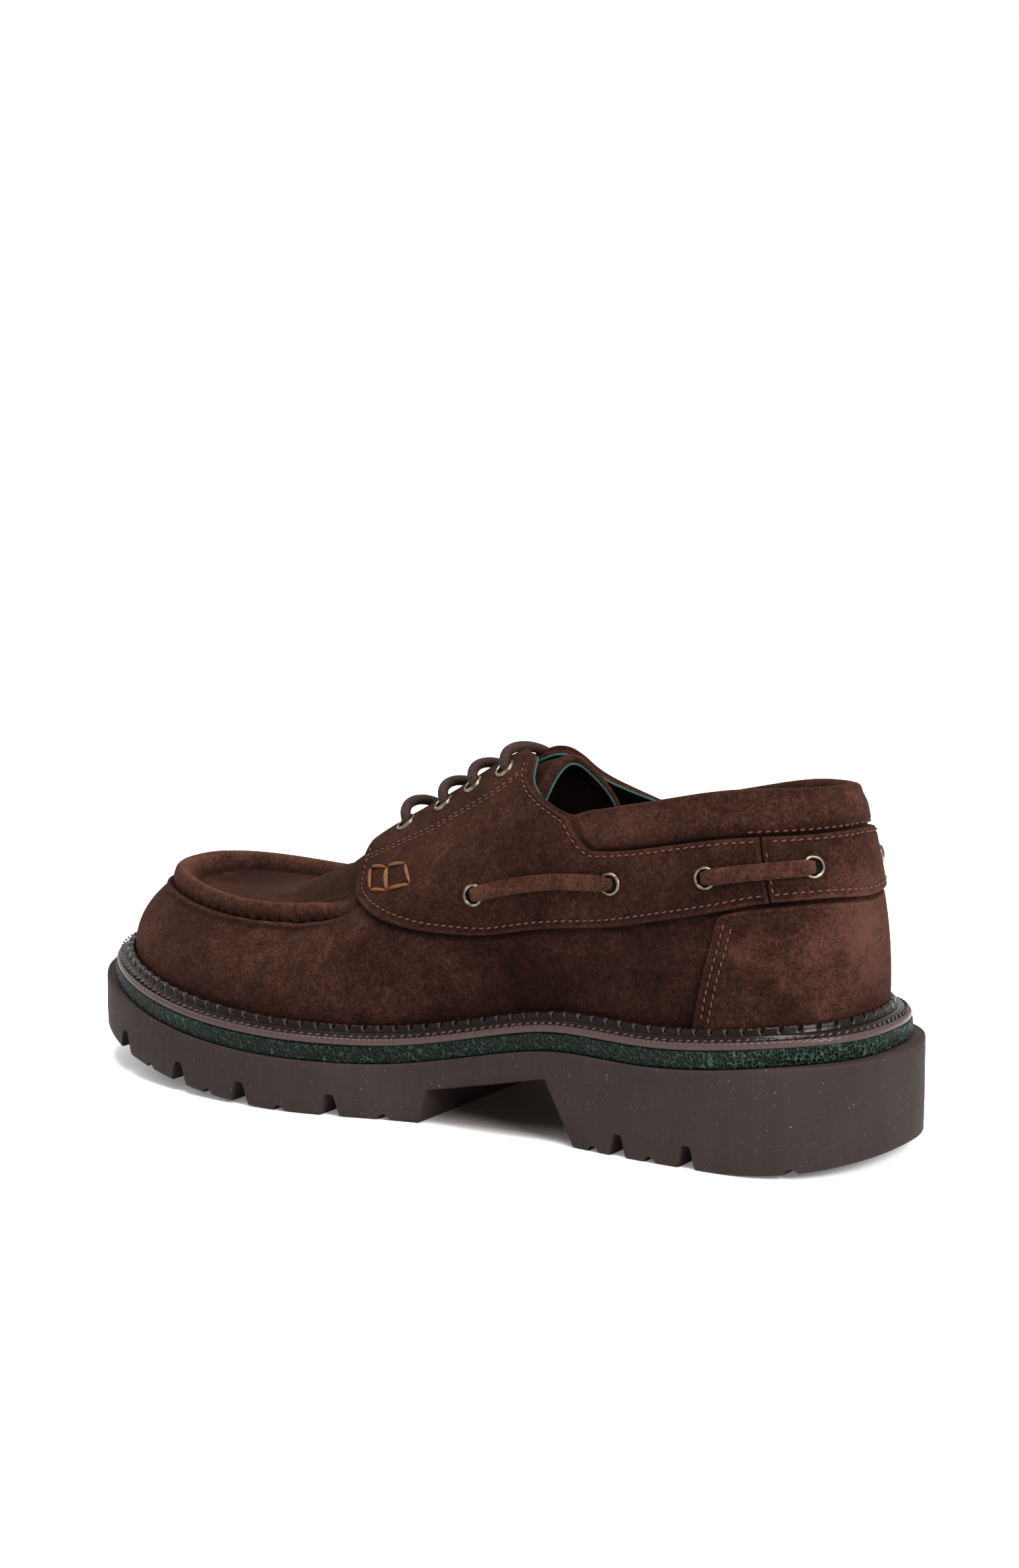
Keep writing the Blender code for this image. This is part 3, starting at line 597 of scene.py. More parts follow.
class Thread:
    """Collects stitches and makes one mesh of them."""

    def __init__(self):
        self.points = []
        self.faces = []

    def add(self, centre, tangent, normal, length, radius, turn=0.0):
        side = np.cross(normal, tangent)
        along = tangent * cos(turn) + side * sin(turn)
        across = np.cross(normal, along)
        rings, sides = 6, 7
        start = len(self.points)
        for s in np.linspace(-1, 1, rings):
            width = radius * max(1 - abs(s) ** 3.2, 0.02)
            dip = -radius * 1.1 * abs(s) ** 3
            for a in around(sides):
                offset = across * cos(a) * width + normal * (sin(a) * width + dip)
                self.points.append(centre + along * s * length / 2 + offset)
        walls = grid_faces(rings, sides, closed_rows=True, start=start)
        self.faces += [tuple(reversed(face)) for face in walls]
        self.faces.append(tuple(start + j for j in range(sides)))
        self.faces.append(tuple(start + (rings - 1) * sides + j for j in reversed(range(sides))))

    def row(self, path, pitch, length, radius, turn):
        points, normals = path[0], path[1]
        run = run_along(points)
        for place in np.arange(pitch * 0.6, run[-1] - pitch * 0.3, pitch):
            i = min(int(np.searchsorted(run, place)), len(points) - 2)
            tangent = unit(points[min(i + 2, len(points) - 1)] - points[max(i - 2, 0)])
            self.add(points[i], tangent, normals[i], length, radius, turn)

    def make(self, name, mat):
        add_object(name, make_mesh(name, self.points, self.faces), mat)


# Materials.

class Nodes:
    """A material's node tree, with short calls to add and join nodes."""

    def __init__(self, name):
        self.material = bpy.data.materials.new(name)
        self.material.use_nodes = True
        self.tree = self.material.node_tree
        self.shader = self.tree.nodes["Principled BSDF"]
        self.coords = self.add("ShaderNodeTexCoord").outputs["Object"]

    def add(self, kind, **settings):
        node = self.tree.nodes.new(kind)
        for key, value in settings.items():
            setattr(node, key, value)
        return node

    def join(self, source, target):
        self.tree.links.new(source, target)

    def noise(self, scale, detail=3.0, roughness=0.5, stretch=None):
        node = self.add("ShaderNodeTexNoise")
        node.inputs["Scale"].default_value = scale
        node.inputs["Detail"].default_value = detail
        node.inputs["Roughness"].default_value = roughness
        self.join(self.stretched(stretch), node.inputs["Vector"])
        return node.outputs["Fac"]

    def cells(self, scale, feature="F1", stretch=None):
        node = self.add("ShaderNodeTexVoronoi", feature=feature)
        node.inputs["Scale"].default_value = scale
        self.join(self.stretched(stretch), node.inputs["Vector"])
        return node.outputs["Distance"]

    def stretched(self, stretch):
        if stretch is None:
            return self.coords
        mapping = self.add("ShaderNodeMapping")
        mapping.inputs["Scale"].default_value = stretch
        self.join(self.coords, mapping.inputs["Vector"])
        return mapping.outputs["Vector"]

    def math(self, operation, a, b):
        node = self.add("ShaderNodeMath", operation=operation)
        for socket, value in zip(node.inputs, (a, b)):
            if isinstance(value, (int, float)):
                socket.default_value = value
            else:
                self.join(value, socket)
        return node.outputs[0]

    def total(self, *terms):
        """The sum of some values, each times its weight."""
        result = None
        for value, weight in terms:
            part = self.math("MULTIPLY", value, weight)
            result = part if result is None else self.math("ADD", result, part)
        return result

    def ramp(self, value, stops):
        node = self.add("ShaderNodeValToRGB")
        elements = node.color_ramp.elements
        while len(elements) < len(stops):
            elements.new(0.5)
        for element, (place, color) in zip(elements, stops):
            element.position = place
            element.color = (*color, 1) if len(color) == 3 else color
        self.join(value, node.inputs["Fac"])
        return node.outputs["Color"]

    def tone(self):
        node = self.add("ShaderNodeAttribute", attribute_name="tone")
        return node.outputs["Fac"]

    def bump(self, height, distance, strength=1.0, after=None):
        node = self.add("ShaderNodeBump")
        node.inputs["Distance"].default_value = distance
        node.inputs["Strength"].default_value = strength
        self.join(height, node.inputs["Height"])
        if after is not None:
            self.join(after, node.inputs["Normal"])
        return node.outputs["Normal"]

    def set(self, **values):
        for key, value in values.items():
            self.shader.inputs[key.replace("_", " ")].default_value = value


def suede_material():
    n = Nodes("suede_brown")
    patches = n.noise(46, 4, 0.62)
    mottle = n.noise(230, 5, 0.72)
    nap = n.noise(950, 5, 0.78)
    fibre = n.noise(4800, 2, 0.6)
    # The tone attribute adds the brushed patches, and also the painted shade and painted highlights of the
    # upper's seams, edges and recesses.
    value = n.total((patches, 0.56), (mottle, 0.60), (nap, 1.15), (n.tone(), 0.26))
    value = n.math("SUBTRACT", value, 0.69)
    stops = ((0.16, (.0024, .0008, .0006)), (0.38, (.0088, .0031, .0021)), (0.54, (.0172, .0066, .0046)),
             (0.86, (.0500, .0205, .0142)))
    n.join(n.ramp(value, stops), n.shader.inputs["Base Color"])
    rough = n.bump(mottle, 0.00045, 0.8)
    rough = n.bump(nap, 0.00030, 1.0, rough)
    n.join(n.bump(fibre, 0.00008, 1.0, rough), n.shader.inputs["Normal"])
    n.set(Roughness=0.95, Specular_IOR_Level=0.03, Sheen_Weight=0.05, Sheen_Roughness=0.5)
    n.set(Sheen_Tint=(.85, .38, .24, 1))
    return n.material


def rubber_material():
    n = Nodes("rubber_brown")
    cloud = n.noise(30, 4, 0.6)
    dust = n.noise(900, 3, 0.7)
    streak = n.noise(120, 4, 0.6, (1.0, 1.0, 0.15))
    specks = n.math("GREATER_THAN", n.noise(1300, 1, 0.5), 0.755)
    value = n.total((cloud, 0.6), (streak, 0.4))
    base = n.ramp(value, ((0.30, (.0150, .0102, .0092)), (0.70, (.0232, .0162, .0146))))
    mix = n.add("ShaderNodeMix", data_type="RGBA")
    n.join(n.math("MULTIPLY", specks, 0.55), mix.inputs[0])
    n.join(base, mix.inputs[6])
    mix.inputs[7].default_value = (.16, .135, .125, 1)
    n.join(mix.outputs[2], n.shader.inputs["Base Color"])
    n.join(n.bump(dust, 0.00006, 0.7, n.bump(cloud, 0.0005, 0.25)), n.shader.inputs["Normal"])
    n.set(Roughness=0.72, Specular_IOR_Level=0.08)
    return n.material


def foam_material():
    n = Nodes("foam_green")
    pores = n.cells(1150, "F1", (1, 1, 0.6))
    small = n.cells(2400)
    cloud = n.noise(420, 3, 0.7)
    walls = n.cells(1150, "DISTANCE_TO_EDGE", (1, 1, 0.6))
    open_cells = n.math("SUBTRACT", 1.0, n.math("MULTIPLY", walls, 4.5))
    value = n.total((pores, 0.33), (small, 0.18), (open_cells, 0.35))
    value = n.math("MULTIPLY", value, n.math("ADD", cloud, 0.50))
    value = n.math("ADD", value, n.tone())
    stops = ((0.20, (.0003, .0005, .0004)), (0.36, (.0012, .0030, .0021)), (0.53, (.0052, .0165, .0105)),
             (0.82, (.050, .095, .066)))
    n.join(n.ramp(value, stops), n.shader.inputs["Base Color"])
    n.join(n.bump(value, 0.0012, 1.0), n.shader.inputs["Normal"])
    n.set(Roughness=0.55, Specular_IOR_Level=0.10)
    return n.material


def welt_material():
    """Dark waxed leather, paler and mauve along its cut outer edge, where tone is high. High tone on the
    ridge makes its painted glints and highlight.
    """
    n = Nodes("welt_leather")
    grain = n.noise(700, 4, 0.6)
    value = n.math("SUBTRACT", n.total((n.tone(), 1.0), (grain, 0.35)), 0.175)
    stops = ((0.0, (.0020, .0008, .0006)), (0.45, (.0080, .0034, .0028)), (1.0, (.0400, .0245, .0225)))
    n.join(n.ramp(value, stops), n.shader.inputs["Base Color"])
    n.join(n.bump(grain, 0.00012, 0.7), n.shader.inputs["Normal"])
    n.set(Roughness=0.30, Specular_IOR_Level=0.12, Coat_Weight=0.05, Coat_Roughness=0.15)
    return n.material


def plain_material(name, dark, light, roughness, grain_scale, depth, specular):
    n = Nodes(name)
    grain = n.noise(grain_scale, 4, 0.6)
    n.join(n.ramp(grain, ((0.3, dark), (0.7, light))), n.shader.inputs["Base Color"])
    n.join(n.bump(grain, depth, 0.8), n.shader.inputs["Normal"])
    n.set(Roughness=roughness, Specular_IOR_Level=specular)
    return n.material


def brass_material():
    n = Nodes("brass_antique")
    wear = n.noise(420, 4, 0.65)
    stops = ((0.30, (.050, .036, .024)), (0.55, (.140, .110, .080)), (0.78, (.36, .31, .24)))
    n.join(n.ramp(wear, stops), n.shader.inputs["Base Color"])
    n.join(n.bump(wear, 0.00008, 0.6), n.shader.inputs["Normal"])
    n.set(Roughness=0.34, Metallic=1.0)
    return n.material


SUEDE = suede_material()
RUBBER = rubber_material()
FOAM = foam_material()
WELT = welt_material()
BRASS = brass_material()
# Each has its dark and light colour, roughness, grain scale, grain depth and specular level.
LACE = plain_material("lace_waxed", (.0100, .0046, .0036), (.036, .0180, .0140), 0.7, 1500, 0.0004, 0.10)
THREAD = plain_material("thread_rose", (.040, .016, .013), (.110, .050, .042), 0.8, 2600, 0.0001, 0.05)
GOLD = plain_material("thread_tan", (.045, .015, .0050), (.170, .066, .021), 0.6, 1800, 0.0002, 0.10)
WAXED = plain_material("thread_waxed", (.0070, .0032, .0026), (.062, .043, .037), 0.34, 700, 0.0001, 0.18)
TEAL = plain_material("edge_teal", (.010, .034, .033), (.034, .076, .072), 0.85, 1400, 0.0002, 0.03)
LINING = plain_material("lining_dark", (.0012, .0013, .0012), (.0045, .0046, .0042), 0.9, 1200, 0.0002, 0.02)


# Brushed patches, as (side, q, v, radius in mm, amount), and creases as paths of (q, v).
BRUSHED = (
    (1, .600, .42, 16, .30), (1, .640, .25, 14, .15), (1, .560, .30, 20, .15), (1, .700, .55, 18, .20),
    (1, .205, .36, 6, .6), (1, .230, .38, 5, .5), (1, .150, .33, 9, .2), (1, .120, .14, 7, .4),
    (1, .060, .36, 16, .9), (1, .020, .52, 14, .6), (-1, .060, .36, 16, .6), (1, .610, .80, 9, .35),
    (1, .300, .30, 16, -.25), (1, .400, .25, 22, -.35), (1, .470, .95, 18, .20), (1, .320, .92, 12, .30),
    (1, .430, .20, 20, -.30), (1, .520, 1.15, 12, .30), (1, .760, .30, 20, .20), (1, .900, .40, 20, .15),
    (-1, .600, .40, 18, .40), (-1, .300, .30, 20, -.20), (-1, .200, .40, 8, .5), (-1, .720, .50, 18, .25),
    (1, .760, 1.60, 16, .20), (-1, .760, 1.60, 16, .15),
)
CREASES = (
    # sign, width in mm, depth in mm, path
    (1, 5.0, 0.55, ((.640, .93), (.655, .72), (.662, .50))),
    (1, 4.5, 0.45, ((.690, .90), (.700, .66), (.704, .45))),
    (1, 6.0, 0.50, ((.585, .80), (.600, .58), (.612, .36))),
    (1, 5.0, 0.40, ((.520, .52), (.500, .38), (.470, .30))),
    (1, 5.0, 0.40, ((.205, .42), (.190, .30), (.150, .24))),
    (-1, 5.0, 0.55, ((.640, .93), (.655, .70), (.664, .48))),
    (-1, 4.5, 0.45, ((.695, .90), (.704, .64), (.708, .42))),
    (-1, 6.0, 0.50, ((.590, .80), (.605, .56), (.615, .34))),
    (1, 6.0, 0.45, ((.668, 1.99), (.676, 1.70), (.690, 1.45))),
    (-1, 6.0, 0.45, ((.668, 1.99), (.676, 1.70), (.690, 1.45))),
)


def brushed_tone(points):
    tones = np.zeros(len(points))
    for sign, q, v, radius, amount in BRUSHED:
        centre = skin(np.array([q * sign]), np.array([v]), 0.0)[0]
        distance = np.linalg.norm(points - centre, axis=1) / (radius * MM)
        tones += amount * bell(distance)
    return tones


def crease_paths():
    result = []
    for sign, width, depth, path in CREASES:
        places = np.array(path)
        s = np.linspace(0, 1, 60)
        at = np.linspace(0, 1, len(path))
        q, v = (monotone(at, column)(s) for column in places.T)
        result.append((skin(q * sign, v, 0.0), width * MM, depth * MM))
    return result


CREASE_PATHS = crease_paths()


def creased(points, normals):
    for path, width, depth in CREASE_PATHS:
        points = press(points, normals, [path], width, depth)
    return points


# Stitch rows. Each is a path of points and normals on top of what it sews.
BASE_LIFT = GAP * 2
PANEL_TOP = BASE_LIFT + PANEL_THICK
PATCH_TOP = BASE_LIFT + PATCH_THICK
COUNTER_TOP_LIFT = BASE_LIFT + COUNTER_THICK
EDGE_ROW = 2.5 * MM
TOP_ROW = 1.5 * MM
COLLAR_ROW = 1.3 * MM
COUNTER_ROWS = (2.6 * MM, 5.2 * MM)
PATCH_ROW = 0.006
FLAP_FOOT = 0.619
FLAP_TOP = 0.4445
COLLAR_ROW_END = 0.190
COUNTER_END = 0.281
STITCH = (2.7 * MM, 1.9 * MM, 0.29 * MM, radians(9))
EYESTAY = {
    "q": (.4455, .454, .466, .480, .519, .563, .615),
    "v": (1.50, 1.445, 1.415, 1.405, 1.41, 1.46, 1.53),
}
eyestay = drawn(EYESTAY)


def stitch_paths():
    """The rows of stitches by what they lie on: panel, collar, patch and counter."""
    rows = {"panel": [], "collar": [], "patch": [], "counter": []}
    for sign in (1, -1):
        stay = (EYESTAY["q"][0], EYESTAY["q"][-1])
        lines = (
            # kind, line, its two ends, distance from the line, points, height
            ("panel", panel_foot, PATCH_EDGE + PATCH_ROW, FLAP_FOOT, EDGE_ROW, 400, PANEL_TOP),
            ("panel", panel_high, PATCH_EDGE + PATCH_ROW, FLAP_TOP, -TOP_ROW, 400, PANEL_TOP),
            ("panel", eyestay, *stay, -0.8 * MM, 240, PANEL_TOP),
            ("panel", eyestay, *stay, 0.8 * MM, 240, PANEL_TOP),
            ("collar", collar_seam, 0.0, COLLAR_ROW_END, COLLAR_ROW, 160, 0.0),
            ("patch", panel_foot, 0.0, PATCH_EDGE - PATCH_ROW, EDGE_ROW, 120, PATCH_TOP),
            ("patch", panel_high, 0.0, PATCH_EDGE - PATCH_ROW, -TOP_ROW, 120, PATCH_TOP),
        )
        for kind, line, low, high, distance, count, lift in lines:
            rows[kind].append(path_on(*row_between(line, low, high, distance, sign, count), lift))
        ends = np.full(60, PATCH_EDGE - 0.005)
        heights = np.linspace(panel_foot(PATCH_EDGE) + 0.03, panel_high(PATCH_EDGE) - 0.03, 60)
        rows["patch"].append(path_on(ends * sign, heights, PATCH_TOP))
        for inset in COUNTER_ROWS:
            qs = np.linspace(0.232, COUNTER_END, 80)
            q, v = beside(qs, counter_top(qs), -inset)
            rows["counter"].append(path_on(q * sign, np.maximum(v, 0.09), COUNTER_TOP_LIFT))
    return rows


def panel_high(q):
    """The collar seam at the back, and the throat's edge in front."""
    edge = throat(q)
    return np.where(np.abs(q) < COLLAR_SEAM["q"][-1], np.minimum(collar_seam(q), edge), edge) - 0.003


def counter_front(v):
    """The place q of the counter's front edge at the height v."""
    return np.interp(-v, [-height for height in COUNTER_TOP["v"][3:]], COUNTER_TOP["q"][3:])


STITCH_ROWS = stitch_paths()

# Metres for each unit of q near the counter's front edge, for the shade ahead of it.
COUNTER_STRIDE = 0.30
APRON_COLUMNS = 460
BACK_COLUMNS = 320

# Rows above the seam, by distance in from it, close together up the roll's steep outer face.
APRON_ROWS = np.concatenate([
    np.linspace(0.12, 0.6, 5), np.linspace(0.9, 4, 11), np.linspace(4.7, 14, 14), [15.5, 17],
]) * MM

# Painted shade and light by the distance in from the seam: dark in the seam's groove, under the lip and on
# the roll's inner side, lighter on the roll's crown and on the lip. Each is amount, place and width, the last
# two in millimetres.
SEAM_SHADING = (
    (-2.4, -0.45, 0.45),
    (-0.7, -3.3, 0.6),
    (1.25, 3.4, 2.6),
    (-0.95, 8.9, 1.5),
    (0.30, -1.7, 0.6),
)


def upper_qs():
    """Places around the foot, closer together along the apron's seam."""
    front = np.linspace(ROLL_BEGIN, 2 - ROLL_BEGIN, APRON_COLUMNS, endpoint=False)
    back = np.linspace(-ROLL_BEGIN, ROLL_BEGIN, BACK_COLUMNS, endpoint=False)
    return wrap(np.concatenate([back, front]))


def wall_depth(q, v):
    seam = collar_seam(q)
    share = smooth((v - seam + 0.1) / np.maximum(1.1 - seam, 1e-6))
    return WALL + (COLLAR_WALL - WALL) * share * smooth((COLLAR_SEAM["q"][-1] - np.abs(q)) / 0.02)


def make_body():
    """The suede upper: wall, collar, apron and its roll, with a rounded edge at the collar and throat."""
    qs = upper_qs()
    edge = throat(qs)[:, None]
    wall = np.concatenate([np.linspace(0, .80, 32), np.linspace(.812, .995, 27), [1.0]])
    near_roll = 1 + APRON_ROWS[None, :] / crown_span(qs)[:, None]
    near_roll = np.minimum(near_roll, 1.97)
    rest = near_roll[:, -1:] + (2 - near_roll[:, -1:]) * np.linspace(0, 1, 19)[None, 1:]
    rows = np.concatenate([np.tile(wall, (len(qs), 1)), near_roll, rest], axis=1)
    rows = np.minimum(rows, edge)
    q_grid = np.tile(qs[:, None], (1, rows.shape[1]))
    points = skin(q_grid, rows, 0.0).reshape(-1, 3)
    normals = surface_normal(q_grid, rows).reshape(-1, 3)
    points = press(points, normals, [path[0] for path in STITCH_ROWS["collar"]], 1.5 * MM, 0.5 * MM)
    points = creased(points, normals)
    count = rows.shape[1]
    faces = grid_faces(len(qs), count, closed_columns=True)
    distance = from_seam(q_grid, rows)
    weight = apron_weight(q_grid)
    tones = sum(amount * bell((distance - place) / width) for amount, place, width in SEAM_SHADING)
    # Painted shade in the pinches between the scallops, and painted light on their bumps.
    tones += (0.8 - 3.6 * (1 - scallop(q_grid))) * bell((distance - 0.06) / 0.13)
    # The plug inside the roll is darker; all these tones fade in with the apron.
    tones = (tones - 0.40 * smooth((distance - 9) / 3)) * weight
    # Painted shade in the collar's seam, the collar above it lighter, and painted shade at the feather, under
    # the panel's foot and ahead of the counter.
    size = wall_rise(q_grid) / MM
    around_foot = np.abs(q_grid)
    seam = (rows - collar_seam(q_grid)) * size
    tones -= 1.1 * bell(seam / 0.9) * (around_foot < 0.37)
    tones += 0.40 * smooth((seam - 2) / 3) * smooth((0.385 - around_foot) / 0.02)
    tones -= 0.9 * bell(rows * size / 7)
    below = (panel_foot(q_grid) - rows) * size
    tones -= 1.3 * bell((below - 0.5) / 0.9) * (around_foot < 0.62)
    ahead = (around_foot - counter_front(rows)) * COUNTER_STRIDE / MM
    tones -= 1.3 * bell((ahead - 0.4) / 0.8) * (rows < 0.53)
    tones = tones.reshape(-1) + brushed_tone(points)
    # The turned edge, from the outer face over to the inner one.
    open_q = [i for i in range(len(qs)) if throat(qs[i]) < 2 - 1e-6]
    order = sorted(open_q, key=lambda i: qs[i])
    edge_q = qs[order][:, None]
    edge_v = throat(edge_q)
    top = skin(edge_q, edge_v, 0.0)
    normal = surface_normal(edge_q, edge_v)
    up = unit(surface(edge_q, edge_v) - surface(edge_q, edge_v - 0.03))
    depth = wall_depth(edge_q, edge_v) + relief(edge_q, edge_v)
    angles = np.linspace(0, pi, 9)[None, :]
    over = top - normal * (depth / 2 * (1 - np.cos(angles)))[..., None]
    over = over + up * (depth * 0.42 * np.sin(angles))[..., None]
    start = len(points)
    points = np.concatenate([points, over.reshape(-1, 3)])
    tones = np.concatenate([tones, np.full(over.shape[0] * over.shape[1], 0.1)])
    faces += grid_faces(len(order), angles.shape[1], start=start)
    mesh = make_mesh("upper_suede", points, faces, tones, merge=2e-5)
    item = add_object("upper_suede", mesh, SUEDE)
    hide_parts("upper")


def make_lining():
    """The inner face of the upper, down to the insole."""
    qs = wrap(np.arange(360) * 2 / 360)
    rows = np.concatenate([np.linspace(0, 1, 22), np.linspace(1.05, 2, 16)])[None, :]
    rows = np.minimum(np.tile(rows, (len(qs), 1)), throat(qs)[:, None])
    q_grid = np.tile(qs[:, None], (1, rows.shape[1]))
    points = inside(q_grid, rows, wall_depth(q_grid, rows)).reshape(-1, 3)
    faces = grid_faces(len(qs), rows.shape[1], closed_columns=True)
    mesh = make_mesh("upper_lining", points, faces, merge=2e-5)
    add_object("upper_lining", mesh, LINING)


EDGE_STEPS = np.array([0, 0, .12, .3, .55, .9, 1.4, 2.0, 2.7, 3.5, 4.4, 5.4, 6.5]) * MM
EDGE_ROUND = 0.8 * MM
EDGE_SINK = 0.8 * MM
PANEL_ROWS = 30


def panel_grid(qs, low, high, base, thick):
    """A panel's outer face with rounded edges that drop to what it is sewn to."""
    rise = wall_rise(qs)
    bottom, top = low(qs), high(qs)
    height = (top - bottom) * rise
    steps = np.minimum(EDGE_STEPS[None, :], height[:, None] * 0.45)
    middle = np.linspace(0, 1, PANEL_ROWS + 2)[None, 1:-1]
    inner = steps[:, -1:] + (height[:, None] - 2 * steps[:, -1:]) * middle
    across = np.concatenate([steps, inner, height[:, None] - steps[:, ::-1]], axis=1)
    v = bottom[:, None] + across / rise[:, None]
    q = np.tile(qs[:, None], (1, v.shape[1]))
    from_edge = np.minimum(across, height[:, None] - across)
    run = run_along(surface(qs, (bottom + top) / 2))
    from_end = np.minimum(run, run[-1] - run)[:, None]
    from_edge = np.minimum(from_edge, from_end)
    near = np.clip(from_edge / EDGE_ROUND, 0, 1)
    lift = base + thick * np.sqrt(np.clip(1 - (1 - near) ** 2, 0, 1))
    lift[:, 0] = lift[:, -1] = base - EDGE_SINK
    lift[0, :] = lift[-1, :] = base - EDGE_SINK
    return q, v, lift, from_edge


def fine_stations(low, high, step):
    """Places q from low to high, closer together at both ends."""
    count = int((high - low) / step)
    ends = np.array([0, 1e-5, .25, .6, 1.1, 1.8]) * MM / (LENGTH * pi / 2) / 0.9
    middle = np.linspace(low + ends[-1] * 1.6, high - ends[-1] * 1.6, count)
    return np.concatenate([low + ends, middle, high - ends[::-1]])


def make_panel(node, qs, low, high, thick, kind):
    q, v, lift, from_edge = panel_grid(qs, low, high, BASE_LIFT, thick)
    points = skin(q, v, lift).reshape(-1, 3)
    normals = surface_normal(q, v).reshape(-1, 3)
    points = press(points, normals, [path[0] for path in STITCH_ROWS[kind]], 1.3 * MM, 0.42 * MM)
    points = creased(points, normals)
    # Darker within 2.5 mm of the edge, and a pale band on the rounded edge: the cut edge's paler colour with
    # a painted highlight.
    tones = (-0.35 + 0.35 * smooth(from_edge / (2.5 * MM))).reshape(-1)
    tones = tones + 0.8 * bell((from_edge.reshape(-1) - 0.7 * MM) / (0.5 * MM)) + brushed_tone(points)
    name = f"{node}_suede"
    item = add_object(name, make_mesh(name, points, grid_faces(*q.shape), tones), SUEDE)
    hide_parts(node)


def counter_foot(q):
    return 3.5 * MM / wall_rise(np.abs(q))


def counter_high(q):
    return np.maximum(counter_top(q), counter_foot(q) + 0.012)


def make_panels():
    for side, sign in (("lateral", 1), ("medial", -1)):
        qs = fine_stations(PATCH_EDGE + 0.0015, PANEL_FOOT["q"][-1], 0.0016) * sign
        make_panel(f"quarter_{side}", qs, panel_foot, panel_high, PANEL_THICK, "panel")
    qs = fine_stations(-PATCH_EDGE, PATCH_EDGE, 0.0018)
    make_panel("heel_patch", qs, panel_foot, panel_high, PATCH_THICK, "patch")
    qs = fine_stations(-COUNTER_END, COUNTER_END, 0.0018)
    make_panel("counter", qs, counter_foot, counter_high, COUNTER_THICK, "counter")


def make_stitching():
    """All the rows in the suede."""
    thread = Thread()
    for rows in STITCH_ROWS.values():
        for path in rows:
            thread.row(path, *STITCH)
    thread.make("stitching", THREAD)


def tube(name, centres, radius, mat, sides=14, normal=UP):
    """A round cord along a path of points."""
    tangents = unit(np.gradient(centres, axis=0))
    across = unit(np.cross(tangents, normal))
    third = np.cross(across, tangents)
    angles = around(sides)[None, :, None]
    spokes = across[:, None, :] * np.cos(angles) + third[:, None, :] * np.sin(angles)
    rings = centres[:, None, :] + spokes * radius
    faces = grid_faces(len(centres), sides, closed_rows=True)
    faces.append(tuple(range(sides)))
    faces.append(tuple((len(centres) - 1) * sides + j for j in range(sides)))
    mesh = make_mesh(name, rings.reshape(-1, 3), faces)
    return add_object(name, mesh, mat)


def edge_path(q0, q1, sign, depth, out):
    """A path along the throat's edge, at a depth under the outer face and standing out past the edge."""
    qs = np.linspace(q0, q1, 160) * sign
    vs = throat(qs)
    points = surface(qs, vs)
    up = unit(points - surface(qs, vs - 0.03))
    return points - surface_normal(qs, vs) * depth + up * out


# Metres for each unit of q along the tongue, and how much further back its far foot lies, in q.
TONGUE_STRIDE = 0.40
FAR_FOOT = 0.010


def make_tongue():
    """The tongue, with a bound top edge and its teal lining showing under it."""
    low, high = TONGUE_SPAN
    qs = np.linspace(low, high, 90)
    shares = np.linspace(0, 1, 26)
    v = TONGUE_EDGE + (2 - TONGUE_EDGE) * shares
    q_grid, v_grid = np.meshgrid(qs, v, indexing="ij")
    drop = (tongue_drop(qs)[:, None] + tongue_more(qs)[:, None] * smooth(shares)[None, :]) * WALL
    edge = bell((qs - low) / 0.006)[:, None] * 0.5 * MM
    wider = FAR_FOOT * (1 - smooth(shares * 1.4))[None, :] * (1 - smooth((qs - low) / 0.03))[:, None]
    layers = []
    for depth in (drop - edge, drop + 2.4 * MM):
        near = inside(q_grid, v_grid, depth)
        far = inside(-(q_grid - wider), v_grid, depth)[:, ::-1][:, 1:]
        layers.append(np.concatenate([near, far], axis=1))
    loop = np.concatenate([layers[0], layers[1][:, ::-1]], axis=1)
    back = (loop[:, :layers[0].shape[1]] + loop[:, ::-1][:, :layers[0].shape[1]]) / 2
    crown = back[0] + unit(back[0] - back[4]) * 1.0 * MM
    count = loop.shape[1]
    points = list(loop.reshape(-1, 3))
    faces = grid_faces(len(qs), count, closed_rows=True)
    start = len(points)
    points += list(crown)
    half = layers[0].shape[1]
    for j in range(half - 1):
        faces.append((j, j + 1, start + j + 1, start + j))
        faces.append((count - 1 - j, start + j, start + j + 1, count - 2 - j))
    # Painted shade on the tongue where the flaps cover it, from 2 mm below its edge, fading out further down.
    below_edge = (qs - low) * TONGUE_STRIDE / MM
    shade = -1.5 * smooth((below_edge - 2) / 1.5) * (1 - smooth((below_edge - 14) / 8))
    tones = np.concatenate([np.repeat(shade, count), np.zeros(len(crown))])
    mesh = make_mesh("tongue_suede", points, faces, tones)
    item = add_object("tongue_suede", mesh, SUEDE)
    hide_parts("tongue")
    under = layers[1][0] - unit(layers[0][0] - layers[1][0]) * 0.5 * MM
    tube("tongue_lining_edge", under[2:-2], 0.42 * MM, TEAL)


